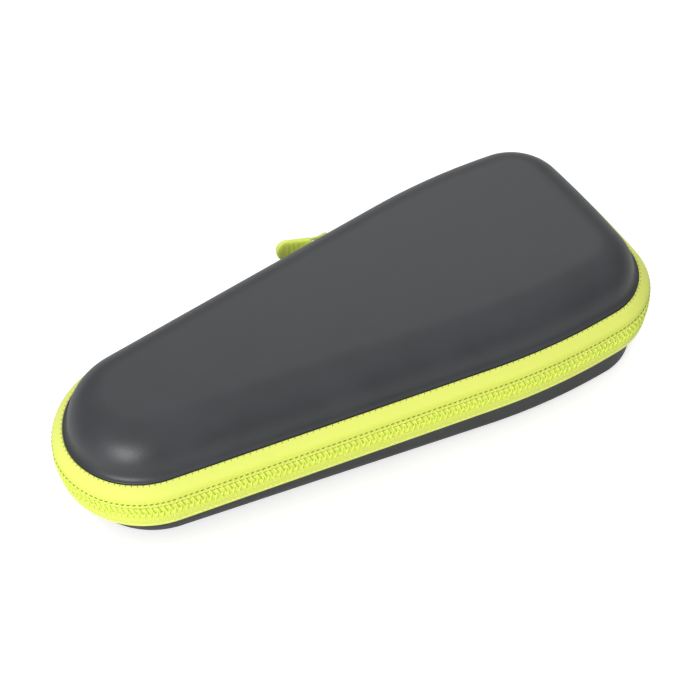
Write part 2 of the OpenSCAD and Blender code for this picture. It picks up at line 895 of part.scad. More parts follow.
// Distance from p to the nearest side of a convex outline, if p lies inside it
function inside_by(p, v) = min([
    for (i = [0 : len(v) - 1])
        let (a = v[i], b = v[(i + 1) % len(v)])
        if (norm(b - a) > 0.01)
            let (u = unit(b - a))
            u[0] * (p - a)[1] - u[1] * (p - a)[0]
]);

module mesh_pocket() {
    gap = (net_pitch - net_cord) / 2;
    row = net_pitch * 0.87;
    rows = ceil(bend_w / 2 / row);
    columns = ceil(net_len / net_pitch);
    gaps = [
        for (j = [-rows : rows]) for (i = [0 : columns])
            let (p = [net_x + (i + (j % 2 == 0 ? 0.5 : 1)) * net_pitch, j * row])
            if (inside_by(p, net_edge) > gap * 1.15 + net_cord) p
    ];
    points = concat(net_edge, [for (p = gaps) for (k = [0 : 5]) p + polar(gap * 1.1, 60 * k + 30)]);
    paths = concat(
        [[for (i = [0 : len(net_edge) - 1]) i]],
        [for (j = [0 : len(gaps) - 1]) [for (k = [5 : -1 : 0]) len(net_edge) + 6 * j + k]]
    );
    color("#3a3b3d")
        translate([0, 0, base_h + net_g])
            linear_extrude(height = net_t)
                polygon(points, paths);
}

module pocket_hem() {
    color("#1f2022")
        translate([0, 0, base_h + net_g])
            linear_extrude(height = hem_t)
                polygon([for (x = [net_x - seat, net_x - hem_w]) for (s = [1, -1])
                    [x, (x > net_x - hem_w ? s : -s) * side_y(x, hem_in)]]);
}

base_shell();
base_lining();
shaver_cradle();
cradle_strap();
strap_patch_near();
strap_patch_far();
base_zip_tape();
base_zip_coil();
base_binding();
lid_shell();
lid_lining();
lid_zip_tape();
lid_zip_coil();
lid_binding();
mesh_pocket();
pocket_hem();
spine_panel();
spine_lining();
chain_tape();
chain_coil();
stop_head();
stop_nose();
slider_body();
slider_bridge();
pull_link();
pull_grip();
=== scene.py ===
"""Electric shaver hard case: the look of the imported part, its camera and its light."""
import math
import random

import bmesh
import bpy
import numpy as np
from mathutils import Matrix, Vector
from mathutils.geometry import delaunay_2d_cdt


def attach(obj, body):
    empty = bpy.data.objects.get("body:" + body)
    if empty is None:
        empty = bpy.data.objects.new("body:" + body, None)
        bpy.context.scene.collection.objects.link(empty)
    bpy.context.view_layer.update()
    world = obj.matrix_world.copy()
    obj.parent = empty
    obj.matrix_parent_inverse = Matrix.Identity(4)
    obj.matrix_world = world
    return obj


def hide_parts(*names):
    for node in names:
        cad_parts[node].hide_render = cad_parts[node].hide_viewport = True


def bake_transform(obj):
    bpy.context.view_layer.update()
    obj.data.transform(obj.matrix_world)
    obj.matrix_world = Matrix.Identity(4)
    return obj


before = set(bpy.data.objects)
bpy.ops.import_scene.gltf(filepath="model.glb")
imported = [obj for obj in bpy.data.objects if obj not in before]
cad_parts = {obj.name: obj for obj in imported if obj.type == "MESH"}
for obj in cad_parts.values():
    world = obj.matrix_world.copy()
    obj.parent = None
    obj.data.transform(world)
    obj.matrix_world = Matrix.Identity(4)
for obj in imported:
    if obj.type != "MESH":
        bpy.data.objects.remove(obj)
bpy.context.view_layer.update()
random.seed(7)
MM = 0.001

BODY = {1: "lid", -1: "base"}
QUARTER = math.pi / 2

# Sizes of the case in millimetres, as in the part's source
CASE_LEN = 220.0
WIDE_W = 92.2
BEND_W = 100.7
BEND_BACK = 54.8
NOSE_W = 59.4
NOSE_BACK = 9.5
WIDE_BACK = 1.5
END_BOW_R = 380.0
WIDE_CORNER_R = 28.8
BEND_R = 224.0
NOSE_CORNER_R = 33.0
NOSE_TIP_R = 30.0
BASE_H = 25.5
LID_H = 24.6
LID_CROWN = 0.5
SHELL_T = 3.0
LID_EDGE_R = 14.8
LID_WALL_IN = 6.9
BASE_WALL_IN = 4.6
FOOT_R_NOSE = 13.5
FOOT_R_WIDE = 2.0
RIM_W = 2.3
LINING_T = 0.6
BINDING_T = 0.7
FOLD_H = 5.5
TAPE_T = 0.9
COIL_D = 1.1
COIL_H = 2.45
COIL_GAP = 0.3
LID_STITCH_H = 4.9
LID_LEDGE_IN = 4.8
LID_LEDGE_H = 9.8
BASE_STITCH_H = 6.8
BASE_LEDGE_IN = 4.3
BASE_LEDGE_H = 10.7
SPINE_LEN = 78.0
SPINE_END = 9.0
CHAIN_LEN = 28.0
STOP_W = 2.6
SLIDER_AT = 13.8
SLIDER_LEN = 10.0
SLIDER_W = 8.8
PLATE_T = 1.4
PIN_R = 0.8
PIN_CLEAR = 0.25
PULL_LEN = 18.5
GRIP_W = 9.5
GRIP_T = 3.2
PULL_REST = 18.0
SEAT = 0.05
SLIP = 0.3
END_GAP = 0.25
LIP = 0.5
HALF = CASE_LEN / 2
COIL_BACK = COIL_D + SEAT
COIL_TOP = COIL_GAP / 2 + COIL_H + SEAT
TAPE_BACK = COIL_BACK + TAPE_T
RIM_EDGE_H = LIP + COIL_TOP
LINED_T = SHELL_T + LINING_T + 2 * SEAT
COIL_PITCH = 2.0
COIL_TURN_POINTS = 12
COIL_IN, COIL_DEPTH = 0.6, 0.3
COIL_MID_H, COIL_HALF_H = 1.12, 1.3
WIRE_R = 0.34
STITCH_DIP = 0.25
# How far a stitch strays along its row in millimetres, and from its slant in radians
STRAY, TILT = 0.06, 0.05


def unit(v):
    """Vectors scaled to length 1."""
    return v / np.maximum(np.linalg.norm(v, axis=-1, keepdims=True), 1e-9)


def polar(r, a):
    return np.array([r * math.cos(a), r * math.sin(a)])


# Outline
def corner(a, p, b, r):
    """Fillet at p between its neighbours: centre, radius, first and last angle.

    An inward corner has a negative radius."""
    u, v = unit(a - p), unit(b - p)
    centre = p + unit(u + v) * r / math.sin(math.acos(float(u @ v)) / 2)
    first = math.atan2(u[0], -u[1])
    turn = math.atan2(-v[0], v[1]) - first
    turn = (turn + math.pi) % (2 * math.pi) - math.pi
    return centre, -r if turn < 0 else r, first, first + turn


def corners_of(verts, radii):
    n = len(verts)
    pts = [np.array(v, float) for v in verts]
    return [corner(pts[i - 1], pts[i], pts[(i + 1) % n], radii[i]) for i in range(n)]


def tip_vertex(x, corner_x, corner_y, r):
    """Where an end's vertex lies so that its rounded tip reaches x."""
    guess = x
    for _ in range(12):
        guess = x + r * (1 / math.cos(math.atan2(guess - corner_x, corner_y)) - 1)
    return guess


WIDE_X = HALF - WIDE_BACK
BEND_X = HALF - BEND_BACK
NOSE_X = -HALF + NOSE_BACK
CORNERS = corners_of(
    [
        (NOSE_X, NOSE_W / 2),
        (-tip_vertex(HALF, -NOSE_X, NOSE_W / 2, NOSE_TIP_R), 0),
        (NOSE_X, -NOSE_W / 2),
        (BEND_X, -BEND_W / 2),
        (WIDE_X, -WIDE_W / 2),
        (tip_vertex(HALF, WIDE_X, WIDE_W / 2, END_BOW_R), 0),
        (WIDE_X, WIDE_W / 2),
        (BEND_X, BEND_W / 2),
    ],
    [NOSE_CORNER_R, NOSE_TIP_R, NOSE_CORNER_R, BEND_R]
    + [WIDE_CORNER_R, END_BOW_R, WIDE_CORNER_R, BEND_R],
)


class Rim:
    """The case's outline by arc length, from the nose corner on the spine side, anticlockwise."""

    def __init__(self):
        self.runs, start = [], 0.0
        for (c, r, a, b), (next_c, next_r, next_a, _) in zip(CORNERS, CORNERS[1:] + CORNERS[:1]):
            self.runs.append((start, c, r, a))
            start += r * (b - a)
            end = c + polar(r, b)
            self.runs.append((start, end, 0.0, b))
            start += float(np.linalg.norm(next_c + polar(next_r, next_a) - end))
        self.total = start
        self.starts = [run[0] for run in self.runs]

    def at(self, s):
        """Points and outward normals at distances s."""
        s = np.mod(np.atleast_1d(np.asarray(s, float)), self.total)
        which = np.searchsorted(self.starts, s, side="right") - 1
        p, n = np.zeros((2, len(s), 2))
        for k, (start, c, r, a) in enumerate(self.runs):
            here = which == k
            t = s[here] - start
            turn = a + (t / r if r else 0 * t)
            n[here] = np.stack([np.cos(turn), np.sin(turn)], 1)
            p[here] = c + (r * n[here] if r else t[:, None] * [-math.sin(a), math.cos(a)])
        return p, n

    def samples(self, arc_deg, line_mm):
        """Distances that follow the outline: close on arcs, wider on straights."""
        s = []
        for (start, _, r, _), end in zip(self.runs, self.starts[1:] + [self.total]):
            step = min(line_mm, math.radians(arc_deg) * r) if r else line_mm
            count = max(1, math.ceil((end - start) / step))
            s += [start + (end - start) * i / count for i in range(count)]
        return np.array(s)


RIM = Rim()
SIDE_DIR = unit(np.array([BEND_X - NOSE_X, (BEND_W - NOSE_W) / 2]))
SIDE_OUT = np.array([-SIDE_DIR[1], SIDE_DIR[0]])
SIDE_ANG = math.atan2(SIDE_DIR[1], SIDE_DIR[0])
SIDE_OFF = float(SIDE_OUT @ np.array([NOSE_X, NOSE_W / 2]))
SIDE_FIRST = float(RIM.at(0.0)[0][0] @ SIDE_DIR)
# A place x on the far side lies SIDE_END - x along the rim
SIDE_END = RIM.starts[-1] + float(RIM.at(RIM.starts[-1])[0][0] @ SIDE_DIR)
SPINE_START = SPINE_END - SPINE_LEN
CHAIN_END = SPINE_END + CHAIN_LEN
ZIP_FROM = SPINE_START - END_GAP - SIDE_FIRST
WINDOW = (SIDE_END - (CHAIN_END + END_GAP), SIDE_END - (SPINE_START - END_GAP))
ZIP_LEN = WINDOW[0] + ZIP_FROM


def far(x, y, z):
    """A point given along the far side, outwards from the zip's face and up from its middle."""
    p = SIDE_DIR * x + SIDE_OUT * (SIDE_OFF + y)
    return np.array([p[0], p[1], BASE_H + z])


def side_y(x, d):
    """Where the far side is at x, d inside the zip's face."""
    return (SIDE_OFF - d + x * math.sin(SIDE_ANG)) / math.cos(SIDE_ANG)


# Mesh helpers
def eased(path, radii, steps=4, closed=False):
    """A polyline with its corners rounded off."""
    pts = [np.array(p, float) for p in path]
    n = len(pts)
    out = [] if closed else [pts[0]]
    todo = range(n) if closed else range(1, n - 1)
    for k in todo:
        a, p, b = pts[k - 1], pts[k], pts[(k + 1) % n]
        r = radii[k] if closed else radii[k - 1]
        if r <= 0:
            out.append(p)
            continue
        la, lb = np.linalg.norm(a - p), np.linalg.norm(b - p)
        cut = min(r, 0.48 * la, 0.48 * lb)
        s, e = p + (a - p) / la * cut, p + (b - p) / lb * cut
        for i in range(steps + 1):
            t = i / steps
            out.append((1 - t) ** 2 * s + 2 * t * (1 - t) * p + t * t * e)
    if not closed:
        out.append(pts[-1])
    return np.array(out)


def lengths(path):
    """Distance along a path at each of its points."""
    return np.append(0, np.cumsum(np.linalg.norm(np.diff(path, axis=0), axis=1)))


def added(name, data):
    """A new object in the scene."""
    obj = bpy.data.objects.new(name, data)
    bpy.context.scene.collection.objects.link(obj)
    return obj


def piece(name, verts, faces, look, body, node=None, slot=None, uv=None, smooth=180):
    """A mesh piece, given in millimetres, that rides on a body."""
    me = bpy.data.meshes.new(name)
    me.from_pydata((np.asarray(verts, float) * MM).tolist(), [], [list(map(int, f)) for f in faces])
    if uv is not None:
        layer = me.uv_layers.new(name="cloth")
        layer.data.foreach_set("uv", np.asarray(uv, np.float32).ravel())
    me.validate()
    me.update()
    for p in me.polygons:
        p.use_smooth = True
    if smooth < 180:
        me.set_sharp_from_angle(angle=math.radians(smooth))
    obj = added(name, me)
    me.materials.append(LOOKS[look])
    if node:
        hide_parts(node)
    if body:
        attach(obj, body)
    return obj


def tidy(obj, merge=0.002):
    """Merges doubled points and turns the faces outwards."""
    bm = bmesh.new()
    bm.from_mesh(obj.data)
    bmesh.ops.remove_doubles(bm, verts=bm.verts, dist=merge * MM)
    bmesh.ops.recalc_face_normals(bm, faces=bm.faces)
    bm.to_mesh(obj.data)
    bm.free()
    return obj


def thicken(obj, t):
    """Gives a single skin of cloth its thickness, inwards."""
    mod = obj.modifiers.new("thickness", "SOLIDIFY")
    mod.thickness, mod.offset, mod.use_even_offset = t * MM, -1, True
    return obj


def woven(us, lead, count, m, flip, keep=None):
    """Quads of a grid of count columns of m points, and their cloth coordinates.

    One more entry in us or lead than columns or points closes the grid that way."""
    faces, uvs = [], []
    turn = -1 if flip else 1
    for i in range(len(us) - 1):
        a, b = i * m, (i + 1) % count * m
        for j in range(len(lead) - 1):
            if keep is not None and not keep(i, j):
                continue
            k = (j + 1) % m
            faces.append([a + j, b + j, b + k, a + k][::turn])
            u, v = us[i : i + 2], lead[j : j + 2]
            uvs += [(u[0], v[0]), (u[1], v[0]), (u[1], v[1]), (u[0], v[1])][::turn]
    return faces, uvs


def hoop(s, path, side=1, whole=True, section_closed=False, keep=None):
    """A grid swept round the rim: points, quads and their cloth coordinates in millimetres."""
    p, n = RIM.at(s)
    path = np.asarray(path, float)
    if path.ndim == 2:
        path = np.broadcast_to(path, (len(s),) + path.shape)
    xy = p[:, None, :] - n[:, None, :] * path[:, :, :1]
    verts = np.concatenate([xy, BASE_H + side * path[:, :, 1:]], 2).reshape(-1, 3)
    us = np.append(s, s[0] + RIM.total) if whole else s
    lead = lengths(np.vstack([path[0], path[0, :1]]) if section_closed else path[0])
    return verts, *woven(us, lead, len(s), path.shape[1], side < 0, keep)


def loft(rings, first=False, last=False, closed=False):
    """Skin through rings of equal length, closed by a fan at either end or back on itself."""
    n, m = len(rings[0]), len(rings)
    verts = np.concatenate(rings)
    faces = []
    for j in range(m if closed else m - 1):
        a, b = j * n, (j + 1) % m * n
        faces += [[a + i, a + (i + 1) % n, b + (i + 1) % n, b + i] for i in range(n)]
    if first:
        verts = np.vstack([verts, np.mean(rings[0], 0)])
        faces += [[(i + 1) % n, i, len(verts) - 1] for i in range(n)]
    if last:
        verts = np.vstack([verts, np.mean(rings[-1], 0)])
        e = (m - 1) * n
        faces += [[e + i, e + (i + 1) % n, len(verts) - 1] for i in range(n)]
    return verts, faces


def caps(count, m):
    """Flat ends for a tube of count points, m round each end."""
    return [list(range(m))[::-1], list(range(count - m, count))]


# A stitch from end to end: share of its length, of its radius, and its height in radii
STITCH = [(-0.5, 0.3, -1.1), (-0.36, 0.85, -0.25), (0, 1, 0.1)]
STITCH += [(-x, r, z) for x, r, z in STITCH[1::-1]]


def many(places, along, up, length, radius, sides=6):
    """Short threads that dive into the cloth at both ends, one at each place."""
    rim = np.arange(sides) * 2 * math.pi / sides
    along = unit(along)
    across = unit(np.cross(up, along))
    axes = np.stack([along, across, np.cross(along, across)], 1)
    local = np.array(
        [
            (x * length, r * radius * math.cos(a), z * radius + r * radius * math.sin(a))
            for x, r, z in STITCH
            for a in rim
        ]
    )
    verts = places[:, None, :] + local @ axes
    one = loft(local.reshape(len(STITCH), sides, 3))[1] + caps(len(local), sides)
    faces = [[v + k * len(local) for v in f[::-1]] for k in range(len(places)) for f in one]
    return verts.reshape(-1, 3), faces


def upright(count, way=1.0):
    return np.tile([0.0, 0.0, way], (count, 1))


def tube(path, radius, sides=6, closed=False):
    """A round thread along a path."""
    path = np.asarray(path, float)
    t = np.roll(path, -1, 0) - np.roll(path, 1, 0)
    if not closed:
        t[0], t[-1] = path[1] - path[0], path[-1] - path[-2]
    rim = np.arange(sides) * 2 * math.pi / sides
    ref = np.array([0.0, 0.0, 1.0] if abs(unit(t[0])[2]) < 0.9 else [1.0, 0.0, 0.0])
    rings = []
    for centre, ahead in zip(path, unit(t)):
        ref = unit(ref - ahead * (ref @ ahead))
        round_ = np.outer(np.cos(rim), ref) + np.outer(np.sin(rim), np.cross(ahead, ref))
        rings.append(centre + radius * round_)
    verts, faces = loft(rings, closed=closed)
    return verts, faces if closed else faces + caps(len(verts), sides)


def join(parts):
    """Several meshes as one."""
    verts, faces, start = [], [], 0
    for v, f in parts:
        verts.append(np.asarray(v, float))
        faces += [[q + start for q in face] for face in f]
        start += len(v)
    return np.vstack(verts), faces


# Materials
def srgb(r, g, b):
    def lin(c):
        c /= 255
        return c / 12.92 if c <= 0.04045 else ((c + 0.055) / 1.055) ** 2.4

    return (lin(r), lin(g), lin(b), 1.0)


class Nodes:
    """Short ways to add shader nodes to a tree."""

    def __init__(self, tree):
        self.nt = tree

    def put(self, value, sock):
        """Links a socket, or sets a plain value."""
        if isinstance(value, bpy.types.NodeSocket):
            self.nt.links.new(value, sock)
        else:
            sock.default_value = value

    def node(self, kind, props=None, **inputs):
        """A node; an input named i0, i1 and so on goes by its number."""
        n = self.nt.nodes.new("ShaderNode" + kind)
        for key, value in (props or {}).items():
            setattr(n, key, value)
        for key, value in inputs.items():
            numbered = key[0] == "i" and key[1:].isdigit()
            self.put(value, n.inputs[int(key[1:]) if numbered else key.replace("_", " ")])
        return n

    def axes(self, vector):
        return self.node("SeparateXYZ", None, Vector=vector).outputs

    def math(self, op, a, b=0.0, c=0.5):
        return self.node("Math", {"operation": op}, i0=a, i1=b, i2=c).outputs[0]

    def total(self, *terms):
        """Sum of values, each times its share."""
        out = None
        for value, share in terms:
            term = self.math("MULTIPLY", value, share)
            out = term if out is None else self.math("ADD", out, term)
        return out

    def wave(self, value, pitch):
        return self.math("SINE", self.math("MULTIPLY", value, 2 * math.pi / pitch))

    def ranged(self, value, lo, hi, a=0.0, b=1.0, smooth=False):
        props = {"interpolation_type": "SMOOTHSTEP"} if smooth else None
        return self.node("MapRange", props, i0=value, i1=lo, i2=hi, i3=a, i4=b).outputs[0]

    def mix(self, share, a, b):
        return self.node("Mix", {"data_type": "RGBA"}, i0=share, i6=a, i7=b).outputs[2]

    def seen(self):
        return self.node("LightPath").outputs["Is Camera Ray"]


class Look(Nodes):
    """A node-based material. Plain values stay on the shader's own sockets."""

    def __init__(self, name, **plain):
        self.mat = bpy.data.materials.new(name)
        self.mat.use_nodes = True
        super().__init__(self.mat.node_tree)
        self.shader = self.nt.nodes["Principled BSDF"]
        for key, value in plain.items():
            self.shader.inputs[key.replace("_", " ")].default_value = value
        self.normal = None

    def place(self):
        """Place in the row frame, in metres."""
        return self.node("TexCoord").outputs["Object"]

    def cloth(self):
        """Place along and across the cloth, in millimetres."""
        return self.axes(self.node("UVMap", {"uv_map": "cloth"}).outputs["UV"])

    def noise(self, mm, detail=2.0, rough=0.5, stretch=None):
        """Noise whose features are about this many millimetres across."""
        vec = self.place()
        if stretch:
            vec = self.node("Mapping", None, Vector=vec, Scale=stretch).outputs[0]
        scale = 1.0 / (mm * MM)
        n = self.node("TexNoise", None, Vector=vec, Scale=scale, Detail=detail, Roughness=rough)
        return n.outputs[0]

    def toned(self, value, lo, hi, dark, light):
        """From one colour to the other as the value goes from lo to hi."""
        return self.mix(self.ranged(value, lo, hi), srgb(*dark), srgb(*light))

    def bump(self, height, depth_mm, strength=1.0):
        n = self.node("Bump", None, Height=height, Distance=depth_mm * MM, Strength=strength)
        if self.normal is not None:
            self.nt.links.new(self.normal, n.inputs["Normal"])
        self.normal = n.outputs[0]

    def done(self, colour, grain, smooth, rough):
        """The material, its roughness between two values by a grain."""
        self.put(colour, self.shader.inputs["Base Color"])
        self.put(self.ranged(grain, 0.3, 0.7, smooth, rough), self.shader.inputs["Roughness"])
        if self.normal is not None:
            self.put(self.normal, self.shader.inputs["Normal"])
        return self.mat


def skin_look(name, dark, light, rough):
    """Satin polyester laminated on foam: a fine grain with faint broad mottling."""
    m = Look(name, Specular_IOR_Level=0.5)
    broad, grain = m.noise(16), m.noise(0.42, 3.0, 0.6)
    fleck = m.node("TexVoronoi", {"feature": "F1"}, Vector=m.place(), Scale=1 / (0.55 * MM))
    tone = m.total((m.ranged(broad, 0.3, 0.7), 0.55), (grain, 0.45))
    m.bump(m.noise(26, 1.0), 0.12, 0.8)
    m.bump(fleck.outputs["Distance"], 0.03, 0.7)
    m.bump(grain, 0.025, 0.8)
    colour = m.toned(tone, 0.2, 0.8, dark, light)
    return m.done(colour, m.total((broad, 0.5), (grain, 0.5)), rough - 0.05, rough + 0.06)


def tape_look(name, valley, crest, edge):
    """Woven zip tape: ribs across, a slanting twill, paler over the ledge: partly a painted
    highlight where the ledge faces up to the light, partly the tape's own paler selvedge.
    """
    m = Look(name, Specular_IOR_Level=0.3, Sheen_Weight=0.12, Sheen_Roughness=0.5)
    u, v, _ = m.cloth()
    rib = m.wave(m.math("ADD", u, m.math("MULTIPLY", v, 0.35)), 0.62)
    weave = m.math("MULTIPLY_ADD", rib, 0.32, m.math("MULTIPLY_ADD", m.wave(v, 0.48), 0.18, 0.5))
    fuzz = m.noise(0.7, 3.0)
    body = m.toned(m.total((weave, 0.6), (fuzz, 0.4)), 0.25, 0.75, valley, crest)
    # Share of painted highlight: from the fold on over the ledge the tape turns paler, as where it
    # faces the light; the paler selvedge is part of it
    fold = m.ranged(v, 5.5, 7.5, smooth=True)
    m.bump(weave, 0.05, 0.9)
    m.bump(fuzz, 0.05, 0.6)
    return m.done(m.mix(m.math("MULTIPLY", fold, 0.6), body, srgb(*edge)), fuzz, 0.66, 0.82)


def thread_look(name, dark, light, twist=0.55, rough=0.5):
    """Spun or drawn thread: strands wound round it, uneven dye."""
    m = Look(name, Specular_IOR_Level=0.45)
    wound = {"wave_type": "BANDS", "bands_direction": "DIAGONAL"}
    scale = 1 / (twist * 6 * MM)
    strand = m.node("TexWave", wound, Vector=m.place(), Scale=scale, Distortion=1.2, Detail=1.0)
    strand = strand.outputs[1]
    dye = m.noise(2.4)
    share = m.math("MULTIPLY_ADD", strand, 0.4, m.math("MULTIPLY", dye, 0.6))
    m.bump(strand, 0.03, 0.6)
    return m.done(m.mix(share, srgb(*dark), srgb(*light)), dye, rough - 0.06, rough + 0.08)


def cloth_look(name, dark, light, pitch, sheen=0.15, rough=0.85, depth=0.12):
    """Knit or plain-woven cloth from its place in space, so that it needs no seams."""
    m = Look(name, Specular_IOR_Level=0.2, Sheen_Weight=sheen, Sheen_Roughness=0.45)
    x, y, z = m.axes(m.place())
    x, y = (m.wave(m.math("ADD", q, m.math("MULTIPLY", z, 0.6)), pitch * MM) for q in (x, y))
    weave = m.math("MULTIPLY_ADD", m.math("MULTIPLY", x, y), 0.5, 0.5)
    fuzz = m.noise(0.5, 3.0, 0.6)
    tone = m.total((weave, 0.45), (fuzz, 0.3), (m.noise(14), 0.25))
    m.bump(weave, depth, 0.8)
    m.bump(fuzz, depth * 0.6, 0.7)
    return m.done(m.toned(tone, 0.25, 0.75, dark, light), fuzz, rough - 0.06, rough + 0.05)


def flock_look(name, dark, light):
    """Flocked foam: short pile that stands up, with a soft sheen and brushed patches."""
    m = Look(name, Specular_IOR_Level=0.15, Sheen_Weight=0.35, Sheen_Roughness=0.35)
    pile, brushed = m.noise(0.25, 4.0, 0.7), m.noise(9, stretch=(1.0, 0.45, 1.0))
    m.bump(pile, 0.16, 0.8)
    m.bump(brushed, 0.2, 0.4)
    colour = m.toned(m.total((pile, 0.55), (brushed, 0.45)), 0.3, 0.7, dark, light)
    return m.done(colour, pile, 0.86, 0.98)


def elastic_look(name, dark, light, pitch):
    """Ribbed elastic: cords side by side along y, with fine picks across them."""
    m = Look(name, Specular_IOR_Level=0.25, Sheen_Weight=0.15, Sheen_Roughness=0.4)
    x, y, _ = m.axes(m.place())
    picks = m.math("MULTIPLY_ADD", m.wave(y, 0.55 * MM), 0.12, 0.5)
    weave = m.math("MULTIPLY_ADD", m.wave(x, pitch * MM), 0.38, picks)
    fuzz = m.noise(0.6, 3.0)
    m.bump(weave, 0.14, 0.9)
    m.bump(fuzz, 0.04, 0.6)
    colour = m.toned(m.total((weave, 0.7), (fuzz, 0.3)), 0.2, 0.8, dark, light)
    return m.done(colour, fuzz, 0.74, 0.88)


def metal_look(name, dark, light, rough, coat):
    """Die-cast zip metal under coloured lacquer: fine pits and rubbed patches."""
    m = Look(name, Metallic=0.0, Coat_Weight=coat, Coat_Roughness=0.18)
    pits, rub = m.noise(0.35, 3.0, 0.6), m.noise(2.2, 3.0, 0.55)
    m.bump(pits, 0.02, 0.7)
    m.bump(rub, 0.04, 0.4)
    colour = m.toned(rub, 0.35, 0.75, dark, light)
    return m.done(colour, m.total((pits, 0.5), (rub, 0.5)), rough - 0.06, rough + 0.08)


def rubber_look(name, dark, light):
    """Soft moulded rubber: fine matt grain, slightly uneven."""
    m = Look(name, Specular_IOR_Level=0.4)
    grain, broad = m.noise(0.22, 3.0, 0.6), m.noise(4.0)
    m.bump(grain, 0.03, 0.7)
    m.bump(broad, 0.06, 0.4)
    colour = m.toned(m.total((grain, 0.4), (broad, 0.6)), 0.3, 0.7, dark, light)
    return m.done(colour, grain, 0.42, 0.56)


BLACK = (34, 35, 37), (52, 53, 56)
RIBBED = (28, 29, 31), (52, 53, 56)
LOOKS = {
    "lid_skin": skin_look("lid_skin", (44, 46, 49), (51, 53, 57), 0.43),
    "base_skin": skin_look("base_skin", (44, 46, 48), (51, 53, 55), 0.5),
    # The tape's third colour is its paler ledge: a painted highlight, together with the paler
    # selvedge
    "tape": tape_look("zip_tape", (198, 211, 76), (225, 235, 102), (231, 238, 120)),
    "coil": thread_look("zip_coil", (206, 222, 74), (230, 243, 104), 0.7, 0.36),
    # The lid seam's thread is really lime; these olive colours are painted shade of its needle
    # holes and groove
    "thread": thread_look("zip_thread_painted_shade", (96, 106, 24), (128, 138, 36), 0.5, 0.6),
    "pale_thread": thread_look("pale_thread", (226, 238, 120), (242, 250, 150), 0.5, 0.6),
    "lining": cloth_look("lining", (48, 49, 51), (64, 65, 68), 0.9),
    "binding": cloth_look("binding", (38, 39, 41), (54, 55, 58), 0.7, 0.1, 0.8),
    "spine": cloth_look("spine_cloth", (50, 52, 55), (68, 70, 73), 0.8, 0.1, 0.78),
    "net": thread_look("net", *BLACK, 0.4, 0.7),
    "flock": flock_look("foam", *BLACK),
    "strap": elastic_look("elastic_x", *RIBBED, 1.5),
    "hem": elastic_look("elastic_hem", *RIBBED, 1.3),
    "patch": cloth_look("patch", (40, 41, 43), (58, 59, 62), 0.7, 0.1, 0.75),
    "dark_thread": thread_look("dark_thread", (60, 61, 64), (88, 89, 92), 0.5, 0.6),
    "stop": metal_look("zip_stop", (176, 192, 62), (204, 218, 92), 0.34, 0.5),
    "slider": metal_look("slider_metal", (190, 206, 66), (216, 230, 92), 0.32, 0.6),
    "rubber": rubber_look("pull_rubber", (232, 247, 104), (240, 252, 124)),
}


# Moulded shells and their linings: the two halves' own sizes
LID = dict(
    side=1,
    ledge_in=LID_LEDGE_IN,
    ledge_h=LID_LEDGE_H,
    wall_in=LID_WALL_IN,
    height=LID_H,
    nose=LID_EDGE_R,
    wide=LID_EDGE_R,
    crown=LID_CROWN,
    face=(0.6, LID_STITCH_H),
)
BASE = dict(
    side=-1,
    ledge_in=BASE_LEDGE_IN,
    ledge_h=BASE_LEDGE_H,
    wall_in=BASE_WALL_IN,
    height=BASE_H,
    nose=FOOT_R_NOSE,
    wide=FOOT_R_WIDE,
    crown=0.0,
    face=(0.35, BASE_STITCH_H),
)
FOOT_OUT, FOOT_UP, KNEE_SHARE, KNEE_UP = 0.35, 0.15, 0.7, 0.3
EDGE_CLEAR = 2.2
# How far out from the middle of the top its rings lie
SHARES = [0.985, 0.95, 0.9, 0.82, 0.72, 0.6, 0.47, 0.33, 0.19, 0.08]


def ring(s, d, g, side):
    p, n = RIM.at(s)
    xy = p - n * np.reshape(d, (-1, 1))
    return np.column_stack([xy, BASE_H + side * np.broadcast_to(g, len(s))])


def rounding(s, half, k, t):
    """Inset and height at turn k, from 0 to 1, of the rounded edge, t inside its outer face."""
    share = (RIM.at(s)[0][:, 0] + HALF) / CASE_LEN
    flat = half["height"] - half["ledge_h"] / 2
    r = np.minimum(half["nose"] + (half["wide"] - half["nose"]) * share, flat)
    inner = np.maximum(r - t, 0.8) if t else r
    centre = half["height"] - (inner + t)
    low = (half["ledge_h"] + EDGE_CLEAR - (half["height"] - r)) / r
    start = np.maximum(0, np.arcsin(np.clip(low, -1, 0.9)))
    a = start + (QUARTER - start) * k
    return half["wall_in"] + t + inner * (1 - np.cos(a)), centre + inner * np.sin(a)


def top_rings(s, half, t, turns, shares):
    """Rings over the rounded edge, then in over the slightly domed top."""
    out = [ring(s, *rounding(s, half, k, t), half["side"]) for k in np.linspace(0, 1, turns)]
    last = out[-1]
    for f in shares:
        r = last * np.array([f, f, 1.0])
        r[:, 2] += half["side"] * half["crown"] * (1 - f * f)
        out.append(r)
    return out


def rim_inner(half, t):
    return [
        (TAPE_BACK + RIM_W + 0.82 * (t - SHELL_T), RIM_EDGE_H - 0.57 * (t - SHELL_T)),
        (half["ledge_in"] + t, half["ledge_h"] - 0.8 * SHELL_T - 0.35 * (t - SHELL_T)),
    ]


def skins(name, half, outer, inner, look, node, slot):
    """Two skins, each closed over its top, joined by a lip at the rim."""
    n, side = len(outer[0]), half["side"]
    (outer, faces), (inner, more) = loft(outer, last=True), loft(inner, last=True)
    verts, faces = join([(outer, faces), (inner, [f[::-1] for f in more])])
    start = len(outer)
    faces += [[(i + 1) % n, i, start + i, start + (i + 1) % n] for i in range(n)]
    tidy(piece(name, verts, faces, look, BODY[side], node, slot))


def inside_rings(s, half, t, turns, shares):
    rim = [ring(s, d, g, half["side"]) for d, g in rim_inner(half, t)]
    return rim + top_rings(s, half, t, turns, shares)


